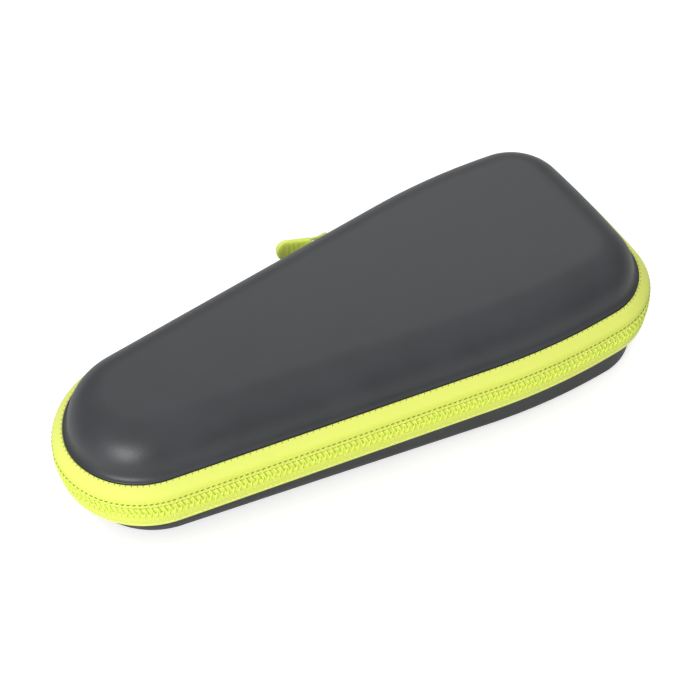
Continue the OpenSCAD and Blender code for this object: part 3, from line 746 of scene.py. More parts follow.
def shell(name, half, node):
    s, side = RIM.samples(4.0, 4.0), half["side"]
    stitch_in, stitch_h = half["face"]
    face = [(COIL_BACK, 0.3), (COIL_BACK, COIL_TOP), (0.35, RIM_EDGE_H)]
    face += [(stitch_in, stitch_h), (half["ledge_in"], half["ledge_h"])]
    foot_d = half["ledge_in"] + FOOT_OUT
    foot = ring(s, foot_d, half["ledge_h"] + FOOT_UP, side)
    knee_d = foot_d + (half["wall_in"] - half["ledge_in"] - FOOT_OUT) * KNEE_SHARE
    knee = ring(s, knee_d, half["ledge_h"] + KNEE_UP, side)
    wall = ring(s, *rounding(s, half, 0.0, 0), side)
    outer = [ring(s, d, g, side) for d, g in shifted(face, TAPE_T)[1:]]
    for t in (0, 0.2, 0.4, 0.6, 0.8):
        outer.append((1 - t) ** 2 * foot + 2 * t * (1 - t) * knee + t * t * wall)
    outer += top_rings(s, half, 0, 17, SHARES)
    skins(name, half, outer, inside_rings(s, half, SHELL_T, 7, SHARES[3::2]), name, node, name)


def lining(name, half, node):
    s = RIM.samples(6.0, 6.0)
    outer, inner = (
        inside_rings(s, half, SHELL_T + t, 9, SHARES[2::2]) for t in (SEAT, SEAT + LINING_T)
    )
    skins(name, half, outer, inner, "lining", node, "lining")


def shifted(path, t):
    """A path in a cross-section moved sideways by t, with mitred corners."""
    step = unit(np.diff(np.asarray(path, float), axis=0))
    normal = np.column_stack([step[:, 1], -step[:, 0]])
    out = []
    for i, p in enumerate(path):
        u, v = normal[max(i - 1, 0)], normal[min(i, len(normal) - 1)]
        out.append(p + (u + v) * t / (1 + u @ v))
    return np.array(out)


shell("lid_skin", LID, "lid_shell")
shell("base_skin", BASE, "base_shell")
lining("lid_cloth", LID, "lid_lining")
lining("base_cloth", BASE, "base_lining")


# Zip tapes: a soft fold over the rim, a line of stitching in a shallow groove, a puffed ledge
LEDGE_PUFF = 0.42
LEDGE_AT = (0.12, 0.26, 0.42, 0.6, 0.78, 0.92)


def in_window(s, slack=0.0):
    return (s > WINDOW[0] - slack) & (s < WINDOW[1] + slack)


def rim_samples(step, near):
    """Distances round the rim, with some more beside both ends of the spine's window."""
    more = [w + e for w in WINDOW for e in near]
    return np.unique(np.concatenate([RIM.samples(step, step), more]).round(6))


def tape_path(half):
    stitch_in, stitch_h = half["face"]
    groove = stitch_h - STITCH_DIP
    start = np.array([stitch_in, stitch_h + 0.35])
    end = np.array([half["ledge_in"], half["ledge_h"]])
    out = unit(np.array([-(end - start)[1], (end - start)[0]]))
    ledge = [
        start + (end - start) * t + out * LEDGE_PUFF * math.sin(math.pi * t**0.8) for t in LEDGE_AT
    ]
    path = [(COIL_BACK, 0.3), (COIL_BACK, COIL_TOP - 0.35), (0.62, COIL_TOP + 0.1)]
    path += [(0.36, RIM_EDGE_H), (0.34, groove - 0.75), (0.52, groove - 0.3), (0.68, groove)]
    path += [(0.52, groove + 0.32)] + ledge + [end]
    return eased(path, [0.3, 0.3, 0.3, 0.3, 0.2, 0.2, 0.25] + [0.4] * len(ledge), 2)


def zip_tape(name, half, node):
    s = rim_samples(4.0, (-1.0, 0.0, 1.0))
    path = tape_path(half)
    side = half["side"]
    cut = int(np.argmin(np.abs(path[:, 1] - (FOLD_H + 0.05))))
    gone = in_window((s + np.append(s[1:], s[0] + RIM.total)) / 2)
    verts, faces, uvs = hoop(s, path, side, keep=lambda i, j: not (gone[i] and j < cut))
    thicken(piece(name, verts, faces, "tape", BODY[side], node, "zip_tape", uvs, 60), TAPE_T * 0.9)
    return path


LID_PATH = zip_tape("lid_tape", LID, "lid_zip_tape")
BASE_PATH = zip_tape("base_tape", BASE, "base_zip_tape")


def on_path(path, g):
    """Inset of a path at a height, and its direction there."""
    k = int(np.clip(np.searchsorted(path[:, 1], g), 1, len(path) - 1))
    a, b = path[k - 1], path[k]
    t = (g - a[1]) / max(b[1] - a[1], 1e-6)
    return a[0] + (b[0] - a[0]) * t, unit(b - a)


def seam(name, p, n, path, side, g, angles, length, radius, look, body, slot, lift, turn=1):
    """Stitches at points of the outline with normals n, on a path of inset and height."""
    d, tangent = on_path(path, g)
    flat = np.zeros(len(p))
    run = np.column_stack([-n[:, 1], n[:, 0], flat]) * turn
    rise = np.column_stack([-n * tangent[0], flat + side * tangent[1]])
    up = np.cross(run, rise) * side * turn
    places = np.column_stack([p - n * d, flat + BASE_H + side * g]) + up * lift
    along = run * np.cos(angles)[:, None] + rise * np.sin(angles)[:, None]
    verts, faces = many(places, along, up, length, radius)
    piece(name, verts, faces, look, body, None, slot, smooth=60)


def rim_row(name, path, side, g, pitch, length, radius, slant, look, slot, lift, window=True):
    """A row of slanting stitches round the rim at one height, slightly uneven."""
    count = round(RIM.total / pitch)
    s = np.arange(count) * RIM.total / count
    if window:
        s = s[~in_window(s, length / 2)]
    s = s + np.array([random.uniform(-STRAY, STRAY) for _ in s])
    angles = np.radians(slant) + np.array([random.uniform(-TILT, TILT) for _ in s])
    p, n = RIM.at(s)
    seam(name, p, n, path, side, g, angles, length, radius, look, BODY[side], slot, lift)


LID_SEAM_H, BASE_SEAM_H = LID_STITCH_H - STITCH_DIP, BASE_STITCH_H - STITCH_DIP
# Each row: height, pitch, length, radius, slant in degrees, thread
LID_CHAIN = (3.75, 1.4, 0.95, 0.13, 62, "pale_thread")
BASE_CHAIN = (3.9, 1.4, 1.5, 0.13, 58, "pale_thread")
# The lid seam's dark thread stands for painted shade in its needle holes and groove
LID_SEAM = (LID_SEAM_H, 1.9, 1.4, 0.27, 14, "thread")
BASE_SEAM = (BASE_SEAM_H, 1.9, 1.35, 0.2, 14, "pale_thread")
CREASE = (LID_LEDGE_H - 0.2, 2.2, 0.8, 0.12, 74, "dark_thread")
rim_row("lid_seam", LID_PATH, 1, *LID_SEAM, "zip_tape", 0.04)
rim_row("lid_chain_stitch", LID_PATH, 1, *LID_CHAIN, "zip_tape", 0.03)
rim_row("base_chain_stitch", BASE_PATH, -1, *BASE_CHAIN, "zip_tape", 0.03)
rim_row("base_seam", BASE_PATH, -1, *BASE_SEAM, "zip_tape", 0.02)
rim_row("lid_crease_stitch", LID_PATH, 1, *CREASE, "lid_skin", -0.02, False)


# Zip coil: flattened turns of one wire, each half's heads between the other's
def coil_turns(turns, g_mid=COIL_MID_H, g_half=COIL_HALF_H):
    """Insets and heights of a flattened helix."""
    a = 2 * math.pi * turns
    return COIL_IN - COIL_DEPTH * np.sin(a), g_mid + g_half * np.cos(a)


CORD_POINTS = 260


def zip_coil(name, side, node):
    count = math.floor(ZIP_LEN / COIL_PITCH)
    k = np.arange(count * COIL_TURN_POINTS + 1) / COIL_TURN_POINTS
    s = -ZIP_FROM + (k + (0.0 if side > 0 else 0.5)) * ZIP_LEN / count
    inside = s < WINDOW[0] - 0.2
    s, k = s[inside], k[inside]
    d, g = coil_turns(k)
    p, n = RIM.at(s)
    wire = tube(np.column_stack([p - n * d[:, None], BASE_H + side * g]), WIRE_R)
    line = np.linspace(s[0] + 0.1, s[-1] - 0.1, CORD_POINTS)
    section = eased([(0.46, 0.16), (0.46, 2.3), (1.05, 2.3), (1.05, 0.16)], [0.2] * 4, 2, True)
    verts, faces, _ = hoop(line, section, side, whole=False, section_closed=True)
    cord = (verts, faces + caps(len(verts), len(section)))
    piece(name, *join([wire, cord]), "coil", BODY[side], node, "zip_coil")


zip_coil("lid_coil", 1, "lid_zip_coil")
zip_coil("base_coil", -1, "base_zip_coil")


# Bindings over the raw rims, trimmed where the spine's lining passes
RAW_H = 0.8
TRIM_OUT, TRIM_IN = 4.1, 4.3


def binding(name, half, node):
    side, top, crest = half["side"], RIM_EDGE_H - SEAT, TAPE_BACK + RIM_W
    low, high = (np.array(p) for p in rim_inner(half, LINED_T))
    upper = low + (high - low) * 0.6
    over = [low, upper, *shifted([low, upper], BINDING_T)[::-1]]
    near = TAPE_BACK + SLIP
    full = [(near, RAW_H), (near, top), (crest, top), *over, (crest - 0.1, RAW_H)]
    trim = [(TRIM_OUT, RAW_H), (TRIM_OUT, top), (crest, top), *over, (TRIM_IN, RAW_H)]
    full = eased(full, [0.7, 0.3, 0.2, 0.2, 0.3, 0.3, 0.5, 0.7], 3, True)
    trim = eased(trim, [0.08, 0.2, 0.1, 0.2, 0.3, 0.3, 0.5, 0.08], 3, True)
    s = rim_samples(5.0, (-0.01, 0.01))
    rings = np.where(in_window(s)[:, None, None], trim[None], full[None])
    verts, faces, uvs = hoop(s, rings, side, section_closed=True)
    tidy(piece(name, verts, faces, "binding", BODY[side], node, "binding", uvs, 50))


binding("lid_binding_cloth", LID, "lid_binding")
binding("base_binding_cloth", BASE, "base_binding")


# Spine: one cloth from the base's ledge over two folds to the lid's ledge, sewn at both edges
SPINE_X0, SPINE_X1 = SPINE_START + 0.1, SPINE_END + STOP_W - 0.1
FLAP_T, FLAP_IN = 0.6, 0.05


def strip(name, xs, path, side, look, bodies, node, slot, thick):
    """Cloth on the far side: columns along it, rows down a path of inset and height.

    With two bodies it is attached to neither and keeps the place it is drawn in."""
    verts = np.array([far(x, -d, side * g) for x in xs for d, g in path])
    faces, uvs = woven(xs, lengths(path), len(xs), len(path), side > 0)
    body = bodies[0] if len(bodies) == 1 else None
    obj = thicken(piece(name, verts, faces, look, body, node, slot, uvs, 60), thick)
    if body is None:
        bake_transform(obj)


def flap_path(path, reach):
    """From the zip's middle up the spine, over the fold and on to a tape's ledge."""
    out = [(FLAP_IN, g) for g in (0.0, 1.5, 3.0, FOLD_H - 1.1)]
    out += [(0.03, FOLD_H - 0.5), (0.03, FOLD_H), (0.1, FOLD_H + 0.45)]
    for g in np.linspace(FOLD_H + 1.0, reach, 6):
        d, tangent = on_path(path, g)
        out.append((d - tangent[1] * FLAP_T, g + tangent[0] * FLAP_T))
    return np.array(out)


def far_row(name, x0, x1, path, side, g, pitch, length, radius, slant, look, body, slot):
    """A row of even stitches along the far side."""
    xs = np.arange(x0 + pitch / 2, x1, pitch)
    p = xs[:, None] * SIDE_DIR + SIDE_OFF * SIDE_OUT
    n = np.tile(SIDE_OUT, (len(xs), 1))
    angles = np.full(len(xs), math.radians(slant))
    seam(name, p, n, path, side, g, angles, length, radius, look, body, slot, 0.03, -1)


spine_xs = np.linspace(SPINE_X0, SPINE_X1, 36)
# The two halves of the cloth: side, path with its reach, height of the seam
FLAPS = [(1, flap_path(LID_PATH, 8.8), 8.1), (-1, flap_path(BASE_PATH, 9.6), 8.9)]
for side, flap, _ in FLAPS:
    bodies = "spine", BODY[side]
    name = f"spine_{BODY[side]}_cloth"
    strip(name, spine_xs, flap, side, "spine", bodies, "spine_panel", "spine_cloth", FLAP_T)
for side, flap, g in FLAPS:
    row = (g, 2.6, 1.9, 0.19, 4, "dark_thread", BODY[side], "spine_cloth")
    far_row(f"spine_{BODY[side]}_seam", SPINE_X0, SPINE_X1, flap, side, *row)

# Inner cloth of the spine, with a turned edge
inner = eased([(0.97, 3.1), (0.8, 2.9), (1.24, 0), (0.8, -2.9), (0.97, -3.1)], [0.15, 1.2, 0.15])
INNER = ("lining", ("spine",), "spine_lining", "lining", 0.45)
strip("spine_inner_cloth", spine_xs, inner, -1, *INNER)


# Closed zip beside the spine, its coils parted where the slider runs
CHAIN_FROM = SPINE_END + STOP_W
SLIDER_X = SPINE_END + SLIDER_AT
SLIDER_TRAVEL = 7.0
SLOT_TO = SLIDER_X - SLIDER_LEN / 2 + 4.0 + SLIDER_TRAVEL
SLOT_HALF = 0.75
CHAIN_LOW = [(COIL_BACK, 0.8), (COIL_BACK, COIL_TOP - 0.35), (0.62, COIL_TOP + 0.1)]
chain_xs = np.linspace(CHAIN_FROM, CHAIN_END, 26)


def chain_path(ledge):
    d, _ = on_path(ledge, FOLD_H + 0.75)
    top = [(0.36, RIM_EDGE_H), (0.36, FOLD_H - 1.0), (0.42, FOLD_H - 0.2), (d - 0.22, FOLD_H + 0.6)]
    return eased(CHAIN_LOW + top, [0.3, 0.3, 0.3, 0.6, 0.5], 3)


CHAINS = [(1, chain_path(LID_PATH), LID_CHAIN), (-1, chain_path(BASE_PATH), BASE_CHAIN)]
for side, path, _ in CHAINS:
    bodies = "spine", BODY[side]
    name = f"chain_{BODY[side]}_tape"
    strip(name, chain_xs, path, side, "tape", bodies, "chain_tape", "zip_tape", 0.55)
for side, path, row in CHAINS:
    name = f"chain_{BODY[side]}_stitch"
    far_row(name, CHAIN_FROM, CHAIN_END, path, side, *row, "spine", "zip_tape")


def chain_coil(side, x0, x1, g_mid, g_half, phase):
    """Turns of wire along the far side, and the cord inside them."""
    count = round((x1 - x0) / COIL_PITCH)
    k = np.arange(count * COIL_TURN_POINTS + 1) / COIL_TURN_POINTS
    d, g = coil_turns(k + phase, g_mid, g_half)
    x = x0 + k * (x1 - x0) / count
    wire = tube([far(a, -b, side * c) for a, b, c in zip(x, d, g)], WIRE_R - 0.01)
    low, high = g_mid - g_half + 0.35, g_mid + g_half - 0.2
    section = eased([(0.5, low), (0.5, high), (1.0, high), (1.0, low)], [0.2] * 4, 2, True)
    ends = [np.array([far(a, -d, side * g) for d, g in section]) for a in (x0 + 0.1, x1 - 0.1)]
    return join([wire, loft(ends, True, True)])


PARTED = (CHAIN_FROM + 0.2, SLOT_TO, 1.72, 0.84)
SHUT = (SLOT_TO, CHAIN_END - 0.2, COIL_MID_H, COIL_HALF_H)
coils = [chain_coil(side, *PARTED, 0.0) for side in (1, -1)]
coils += [chain_coil(side, *SHUT, phase) for side, phase in ((1, 0.0), (-1, 0.5))]
tidy(piece("chain_wire", *join(coils), "coil", "spine", "chain_coil", "zip_coil", smooth=60))


# Hard pieces on the far side: bevelled prisms and turned shapes
def plate(points, y0, y1, place, edge=0.25, steps=3):
    """A plate drawn along and up, given its thickness outwards, with rounded edges."""
    pts = np.asarray(points, float)
    turned = unit(pts - np.roll(pts, 1, 0)) + unit(np.roll(pts, -1, 0) - pts)
    normal = unit(np.column_stack([turned[:, 1], -turned[:, 0]]))
    turns = QUARTER * np.arange(steps + 1) / steps
    levels = [(a, y0 + edge * (1 - math.cos(a))) for a in turns]
    levels += [(a, y1 - edge * (1 - math.cos(a))) for a in turns[::-1]]
    rings = []
    for a, y in levels:
        moved = pts - normal * edge * (1 - math.sin(a))
        rings.append(np.array([place(x, y, z) for x, z in moved]))
    return loft(rings, True, True)


def arc_outline(points, radii, step=14):
    """Points round an outline with rounded corners."""
    out = []
    for c, r, a, b in corners_of(points, radii):
        n = max(1, math.ceil(abs(math.degrees(b - a)) / step))
        out += [c + polar(r, a + (b - a) * i / n) for i in range(n + 1)]
    return np.array(out)


def slab(x0, x1, z0, z1, r):
    return arc_outline([(x0, z0), (x1, z0), (x1, z1), (x0, z1)], [r] * 4)


def on_slider(x, y, z):
    return far(SLIDER_X + x, y, z)


PIVOT_Y = SLIP + PLATE_T + max(PIN_CLEAR + PIN_R, GRIP_T / 2) + SLIP / 2
PULL_TURN = math.pi - math.radians(PULL_REST)


def on_pull(x, y, z):
    c, s = math.cos(PULL_TURN), math.sin(PULL_TURN)
    return on_slider(x * c - y * s, PIVOT_Y + x * s + y * c, z)


def slider():
    """Outer plate with a raised middle, post in the slot, inner plate and two side flanges."""
    end, wide = SLIDER_LEN / 2, SLIDER_W / 2
    tail = wide * 0.62 + 0.8
    shield = [(-end, -wide), (end * 0.2, -wide), (end, -tail)]
    shield += [(x, -z) for x, z in shield[::-1]]
    shield = arc_outline(shield, [1.6, 5, 0.9, 0.9, 5, 1.6])
    raised = shield * np.array([0.72, 0.66]) + np.array([0.1, 0.0])
    post = slab(-end + 0.4, -end + 2.4, -SLOT_HALF + 0.15, SLOT_HALF - 0.15, 0.3)
    inner_half, back = RIM_EDGE_H - 2 * SLIP, -TAPE_BACK - SLIP
    under = slab(-end + 0.2, end - 1.0, -inner_half, inner_half, 1.0)
    parts = [
        plate(shield, SLIP, SLIP + PLATE_T * 0.8, on_slider, 0.4, 4),
        plate(raised, SLIP + 0.5, SLIP + PLATE_T, on_slider, 0.3, 3),
        plate(post, back - 1.0, SLIP + 0.3, on_slider, 0.1, 2),
        plate(under, back - PLATE_T, back - 0.1, on_slider, 0.3, 3),
    ]
    x0 = -end + 1.8
    for z in (0.65 - wide, wide - 0.65):
        flange = slab(x0, x0 + SLIDER_LEN * 0.45, z - 0.55, z + 0.55, 0.4)
        parts.append(plate(flange, -0.35 + SLIP / 2, SLIP + 0.3, on_slider, 0.15, 2))
    return join(parts)


METAL = ("slider", "slider", "slider_body", "slider_metal")
tidy(piece("slider_cast", *slider(), *METAL, smooth=50))


def bridge():
    """The arch that holds the pull: an outline round a bore, its edges rounded."""
    bore_r = PIN_R + PIN_CLEAR
    foot, top = SLIP + PLATE_T - 0.2, PIVOT_Y + bore_r + 1.1
    outline = [(-3.7, foot), (3.7, foot), (2.7, top), (-2.7, top)]
    mid = np.array([0.0, PIVOT_Y])
    outer = arc_outline(outline, [0.3, 0.3, 1.4, 1.4], 9)
    bore = mid + bore_r * unit(outer - mid)
    levels = [(outer, -0.3, -1.2), (outer, -0.08, -1.1), (outer, 0, -0.85), (outer, 0, 0.85)]
    levels += [(outer, -0.08, 1.1), (outer, -0.3, 1.2)]
    levels += [(bore, 0.15, 1.2), (bore, 0, 1.0), (bore, 0, -1.0), (bore, 0.15, -1.2)]
    rings = [
        np.array([on_slider(x, y, z) for x, y in pts + unit(pts - mid) * grow])
        for pts, grow, z in levels
    ]
    return loft(rings, closed=True)


ARCH = ("slider", "slider", "slider_bridge", "slider_metal")
tidy(piece("slider_arch", *bridge(), *ARCH, smooth=50))

# Wire link through the arch, its far end moulded into the grip
ARM_Z = 1.2 + SLIP + 0.5
corners = eased([(0, -ARM_Z), (6.4, -ARM_Z), (6.4, ARM_Z), (0, ARM_Z)], [0.75] * 4, 4, True)
link = []
for a, b in zip(corners, np.roll(corners, -1, 0)):
    count = max(1, int(np.linalg.norm(b - a) / 0.5))
    link += [on_pull(x, 0, z) for x, z in (a + (b - a) * i / count for i in range(count))]
piece("pull_wire", *tube(link, 0.62, 10, True), "slider", "pull", "pull_link", "slider_metal")


def round_off(x):
    """Height of a quarter circle at x, from 0 at its foot to 1."""
    return math.sqrt(max(0.0, 1 - (1 - x) ** 2))


def squared(w, h, a, flat_w, flat_h):
    """A point at angle a round a squarish oval."""
    c, s = math.cos(a), math.sin(a)
    return w * math.copysign(abs(c) ** flat_w, c), h * math.copysign(abs(s) ** flat_h, s)


GRIP_NECK, GROOVE_DEPTH = 0.27, 0.3
GROOVES_AT = (0.42, 0.52, 0.62, 0.72, 0.82)


def grip():
    """The moulded pull: waisted, its edges rounded, with finger grooves on both faces."""
    root, tip, sides = 1.2, 4.4, 28
    x0, x1 = SLIDER_LEN / 2 - 0.4 + SEAT, PULL_LEN
    end = x1 - tip * (1 - np.sin(np.linspace(0.05, QUARTER, 16)))
    rings = []
    for x in (*np.linspace(x0, x0 + root, 6), *np.linspace(x0 + 1.4, x1 - 4.6, 40), *end):
        t = (x - x0) / (x1 - x0)
        w = GRIP_W * (GRIP_NECK + (0.5 - GRIP_NECK) * min(1, t * 1.3))
        if x > x1 - tip:
            w *= math.sqrt(max(0.0, 1 - ((x - x1 + tip) / tip) ** 2.3)) + 0.02
        if x < x0 + root:
            w *= 0.8 + 0.2 * round_off((x - x0) / root)
        h = GRIP_T / 2 * (0.9 + 0.1 * math.cos(math.pi * (t - 0.5)))
        h *= 0.55 + 0.45 * round_off(min(1, (x1 - x) / 1.4, (x - x0) / 0.9))
        for f in GROOVES_AT:
            h -= GROOVE_DEPTH * math.exp(-(((x - PULL_LEN * f) / 0.55) ** 2))
        turn = 2 * math.pi / sides
        oval = [squared(w, h, turn * i, 0.62, 0.55) for i in range(sides)]
        rings.append(np.array([on_pull(x, y, z) for z, y in oval]))
    return loft(rings, True, True)


tidy(piece("pull_tab", *grip(), "rubber", "pull", "pull_grip", "pull_rubber", smooth=60))


def stop(name, x, node):
    """A clamped zip stop: a folded bar with a pressed groove across it."""
    w = STOP_W - SEAT
    parts = [plate(slab(x, x + w, -COIL_TOP, COIL_TOP, 0.5), -TAPE_BACK, 0.55, far, 0.3, 3)]
    for z in (-COIL_TOP * 0.5, COIL_TOP * 0.5):
        bar = slab(x + 0.25, x + w - 0.25, z - COIL_TOP * 0.38, z + COIL_TOP * 0.38, 0.4)
        parts.append(plate(bar, 0.2, 0.8, far, 0.25, 3))
    tidy(piece(name, *join(parts), "stop", "spine", node, "zip_stop", smooth=50))


stop("stop_clip_head", SPINE_END, "stop_head")
stop("stop_clip_nose", SPINE_START, "stop_nose")


# Inside the base: the flocked cradle, moulded in one piece with its pocket and finger notches
CRADLE_TOP = 19.0
POCKET_FLOOR = 6.72
NOTCH_LIFT = 3.0
NOTCH_WALL_Y, NOTCH_BED_Y, NOTCH_END_X = (21.4, 24.6), (17.6, 20.6), 20
CRADLE_T = LINED_T + SEAT
# The pocket's far corners, from the wide end to the nose: place and radius
POCKET = [(90, 33, 24), (40, 33, 18), (28, 21, 20), (15.3, 20.6, 3)]
POCKET += [(12.8, 30.2, 7.4), (-5.2, 29.7, 7.4), (-7.7, 20, 3), (-86, 17, 14)]
# Its wall from the flat top down: inset and height
POCKET_WALL = [(-1.6, 19.0), (-1.3, 19.0), (-0.9, 18.88), (-0.42, 18.45), (-0.05, 17.7)]
POCKET_WALL += [(0.25, 16.2), (0.5, 12.5), (0.85, 9.4), (1.5, 7.9), (2.5, 7.05)]
POCKET_WALL += [(3.6, POCKET_FLOOR)]
CRADLE_EDGE = [(1.2, 0), (1.0, 0), (0.7, 0.08), (0.33, 0.33), (0.08, 0.75), (0, 1.3)]


def smoothstep(x, lo, hi):
    t = np.clip((np.asarray(x, float) - lo) / (hi - lo), 0, 1)
    return t * t * (3 - 2 * t)


def pocket_half():
    """The far half of the pocket's outline from the wide end to the nose, with its normals."""
    corners = POCKET + [(x, -y, r) for x, y, r in POCKET[::-1]]
    verts, radii = [(x, y) for x, y, _ in corners], [r for _, _, r in corners]
    pts, normals = [], []
    for c, r, a, b in corners_of(verts, radii)[: len(POCKET)]:
        first = c + polar(r, a)
        if pts:
            start, gap = pts[-1], np.linalg.norm(first - pts[-1])
            for f in np.arange(5, 0.95 * gap, 5) / gap:
                pts.append(start + (first - start) * f)
                normals.append(polar(1, a))
        n = max(2, math.ceil(abs(math.degrees(b - a)) / 7))
        for t in (a + (b - a) * i / n for i in range(n + 1)):
            pts.append(c + polar(r, t))
            normals.append(polar(1, t))
    pts = np.vstack([[[POCKET[0][0], 0.0]], pts, [[POCKET[-1][0], 0.0]]])
    return pts, np.vstack([[1.0, 0.0], normals, [-1.0, 0.0]])


def encloses(loop, q):
    """Whether a loop has q inside, by the edges crossed on the way out of it."""
    x, y = loop[:, 0], loop[:, 1]
    u, v = np.roll(x, -1), np.roll(y, -1)
    crossed = (y > q[1]) != (v > q[1])
    with np.errstate(divide="ignore", invalid="ignore"):
        at = x + (q[1] - y) * (u - x) / (v - y)
    return bool(np.sum(crossed & (q[0] < at)) % 2)


def between(verts, inner, outer):
    """Triangles of the flat face between two loops, given by their points' numbers."""
    both, n = inner + outer, len(inner)
    hole, rim = verts[inner][:, :2], verts[outer][:, :2]
    edges = [(i, (i + 1) % n) for i in range(n)]
    edges += [(n + i, n + (i + 1) % len(rim)) for i in range(len(rim))]
    flat = [Vector(q) for q in np.vstack([hole, rim])]
    _, _, tris, origin, _, _ = delaunay_2d_cdt(flat, edges, [], 0, 1e-7)
    out = []
    for tri in tris:
        ids = [both[origin[k][0]] for k in tri]
        mid = np.mean(verts[ids][:, :2], axis=0)
        if encloses(rim, mid) and not encloses(hole, mid):
            out.append(ids)
    return out


def mirrored(half, flip):
    """A half outline made whole across y = 0."""
    return np.concatenate([half, half[-2:0:-1] * flip])


def cradle():
    half, normals = pocket_half()
    lift = smoothstep(half[:, 1], *NOTCH_WALL_Y) * (half[:, 0] < NOTCH_END_X)
    whole, outward = mirrored(half, [1, -1]), mirrored(normals, [1, -1])
    shallow = 1 - NOTCH_LIFT * mirrored(lift, 1) / (CRADLE_TOP - POCKET_FLOOR)
    wall = [
        np.column_stack([whole - outward * inset, CRADLE_TOP - (CRADLE_TOP - z) * shallow])
        for inset, z in POCKET_WALL
    ]
    rows = 22
    turn = np.cos(np.linspace(0, math.pi, rows))
    bed = []
    for (x, y, _), notch in zip(wall[-1], lift):
        ys = max(y, 0.0) * turn
        zs = POCKET_FLOOR + NOTCH_LIFT * np.minimum(notch, smoothstep(np.abs(ys), *NOTCH_BED_Y))
        bed.append(np.column_stack([np.full(rows, x), ys, zs]))
    bed_faces = [
        [i, i + 1, i + 1 + rows, i + rows]
        for start in range(0, (len(half) - 1) * rows, rows)
        for i in range(start, start + rows - 1)
    ]
    s = RIM.samples(4.0, 4.0)
    wall_in, top = BASE_WALL_IN + CRADLE_T, BASE_H - CRADLE_TOP
    outer = [ring(s, wall_in + d, top + g, -1) for d, g in CRADLE_EDGE]
    outer += top_rings(s, BASE, CRADLE_T, 8, SHARES[2::2])
    parts = [loft(wall), (np.vstack(bed), bed_faces), loft(outer, last=True)]
    verts, faces = join(parts)
    first = len(parts[0][0]) + len(parts[1][0])
    faces += between(verts, list(range(len(whole))), list(range(first, first + len(s))))
    obj = tidy(piece("cradle", verts, faces, "flock", "base", "shaver_cradle", "foam"), 0.01)


cradle()

# Elastic strap over the shaver, its ends under sewn patches
STRAP_X, STRAP_W, STRAP_T, STRAP_RISE, STRAP_END, PATCH_T = -40.0, 25.0, 1.2, 3.0, 5.5, 0.8
STRAP_X0, STRAP_X1 = STRAP_X - STRAP_W / 2, STRAP_X + STRAP_W / 2
STRAP_HALF = side_y(STRAP_X0, BASE_WALL_IN + CRADLE_T) - 0.8


def band(ys, heights, spans, half_t, place=lambda x, y, z: (x, y, z), sides=22):
    """Flat elastic laid along y, with rounded selvedges."""
    rings = []
    for y, z, (x0, x1) in zip(ys, heights, spans):
        mid, w = (x0 + x1) / 2, (x1 - x0) / 2
        oval = [squared(w, half_t, 2 * math.pi * i / sides, 0.28, 0.75) for i in range(sides)]
        rings.append(np.array([place(mid + x, y, z + h) for x, h in oval]))
    return loft(rings, True, True)


def strap():
    span = STRAP_HALF - STRAP_END
    r = (span * span + STRAP_RISE * STRAP_RISE) / (2 * STRAP_RISE)
    ys = np.linspace(-STRAP_HALF, STRAP_HALF, 121)
    arch = np.sqrt(np.maximum(r * r - ys * ys, 0)) - r + STRAP_RISE
    rise = np.pad(np.where(np.abs(ys) < span, arch, 0.0), 2, mode="edge")
    heights = CRADLE_TOP + STRAP_T / 2 + np.convolve(rise, np.ones(5) / 5, "valid")
    drawn_in = 0.06 * (1 - np.cos(2 * math.pi * ys / 2.4))
    spans = np.column_stack([STRAP_X0 + drawn_in, STRAP_X1 - drawn_in])
    verts, faces = band(ys, heights, spans, STRAP_T / 2 - 0.02)
    tidy(piece("strap", verts, faces, "strap", "base", "cradle_strap", "elastic"))


def patch(name, sign, node):
    inset, margin = 0.4, 0.8
    x0, x1 = STRAP_X0 + inset, STRAP_X1 - inset
    y0, y1 = sorted((sign * (STRAP_HALF - STRAP_END + inset), sign * (STRAP_HALF - inset)))
    z0 = CRADLE_TOP + STRAP_T
    cloth = slab(x0, x1, y0, y1, 0.7)
    body = plate(cloth, z0 - 0.05, z0 + PATCH_T, lambda x, z, y: np.array([x, y, z]), 0.32, 4)
    tidy(piece(name, *body, "patch", "base", node, "patch", smooth=50))
    x0, x1, y0, y1 = x0 + margin, x1 - margin, y0 + margin, y1 - margin
    line = eased([(x0, y0), (x1, y0), (x1, y1), (x0, y1)], [0.01] * 4, 1, True)
    places, along = [], []
    for a, b in zip(line, np.roll(line, -1, 0)):
        count = int(np.linalg.norm(b - a) / 2.1)
        places += [(*(a + (b - a) * (i + 0.5) / count), z0 + PATCH_T + 0.02) for i in range(count)]
        along += [(*(b - a), 0.0)] * count
    places = np.array(places)
    stitches = many(places, np.array(along), upright(len(places)), 1.5, 0.17)
    piece(name + "_stitches", *stitches, "dark_thread", "base", None, "patch", smooth=60)


strap()
patch("patch_near", -1, "strap_patch_near")
patch("patch_far", 1, "strap_patch_far")


# Inside the lid: an elastic hem, a net sewn to it and a knitted border round the net
NET_X, NET_G, NET_T, HEM_W, HEM_T = HALF - 135.0, 5.9, 0.8, 8.0, 1.6
NET_IN, HEM_IN, BORDER_W = 8.23, 9.18, 2.5
NET_Z = BASE_H + NET_G + NET_T / 2
MESH_PITCH, MESH_CORD, CORD_HALF = 4.2, 0.42, 0.3
MESH_R = MESH_PITCH / math.sqrt(3)
LEAST_ROOM, LEAST_OPENING = 0.4, 0.12
CORD_SECTION = [(0.0, 1.0), (0.45, 0.85), (0.85, 0.45), (1.0, 0.0)]
CORD_SECTION += [(f, -h) for f, h in CORD_SECTION[-2::-1]]


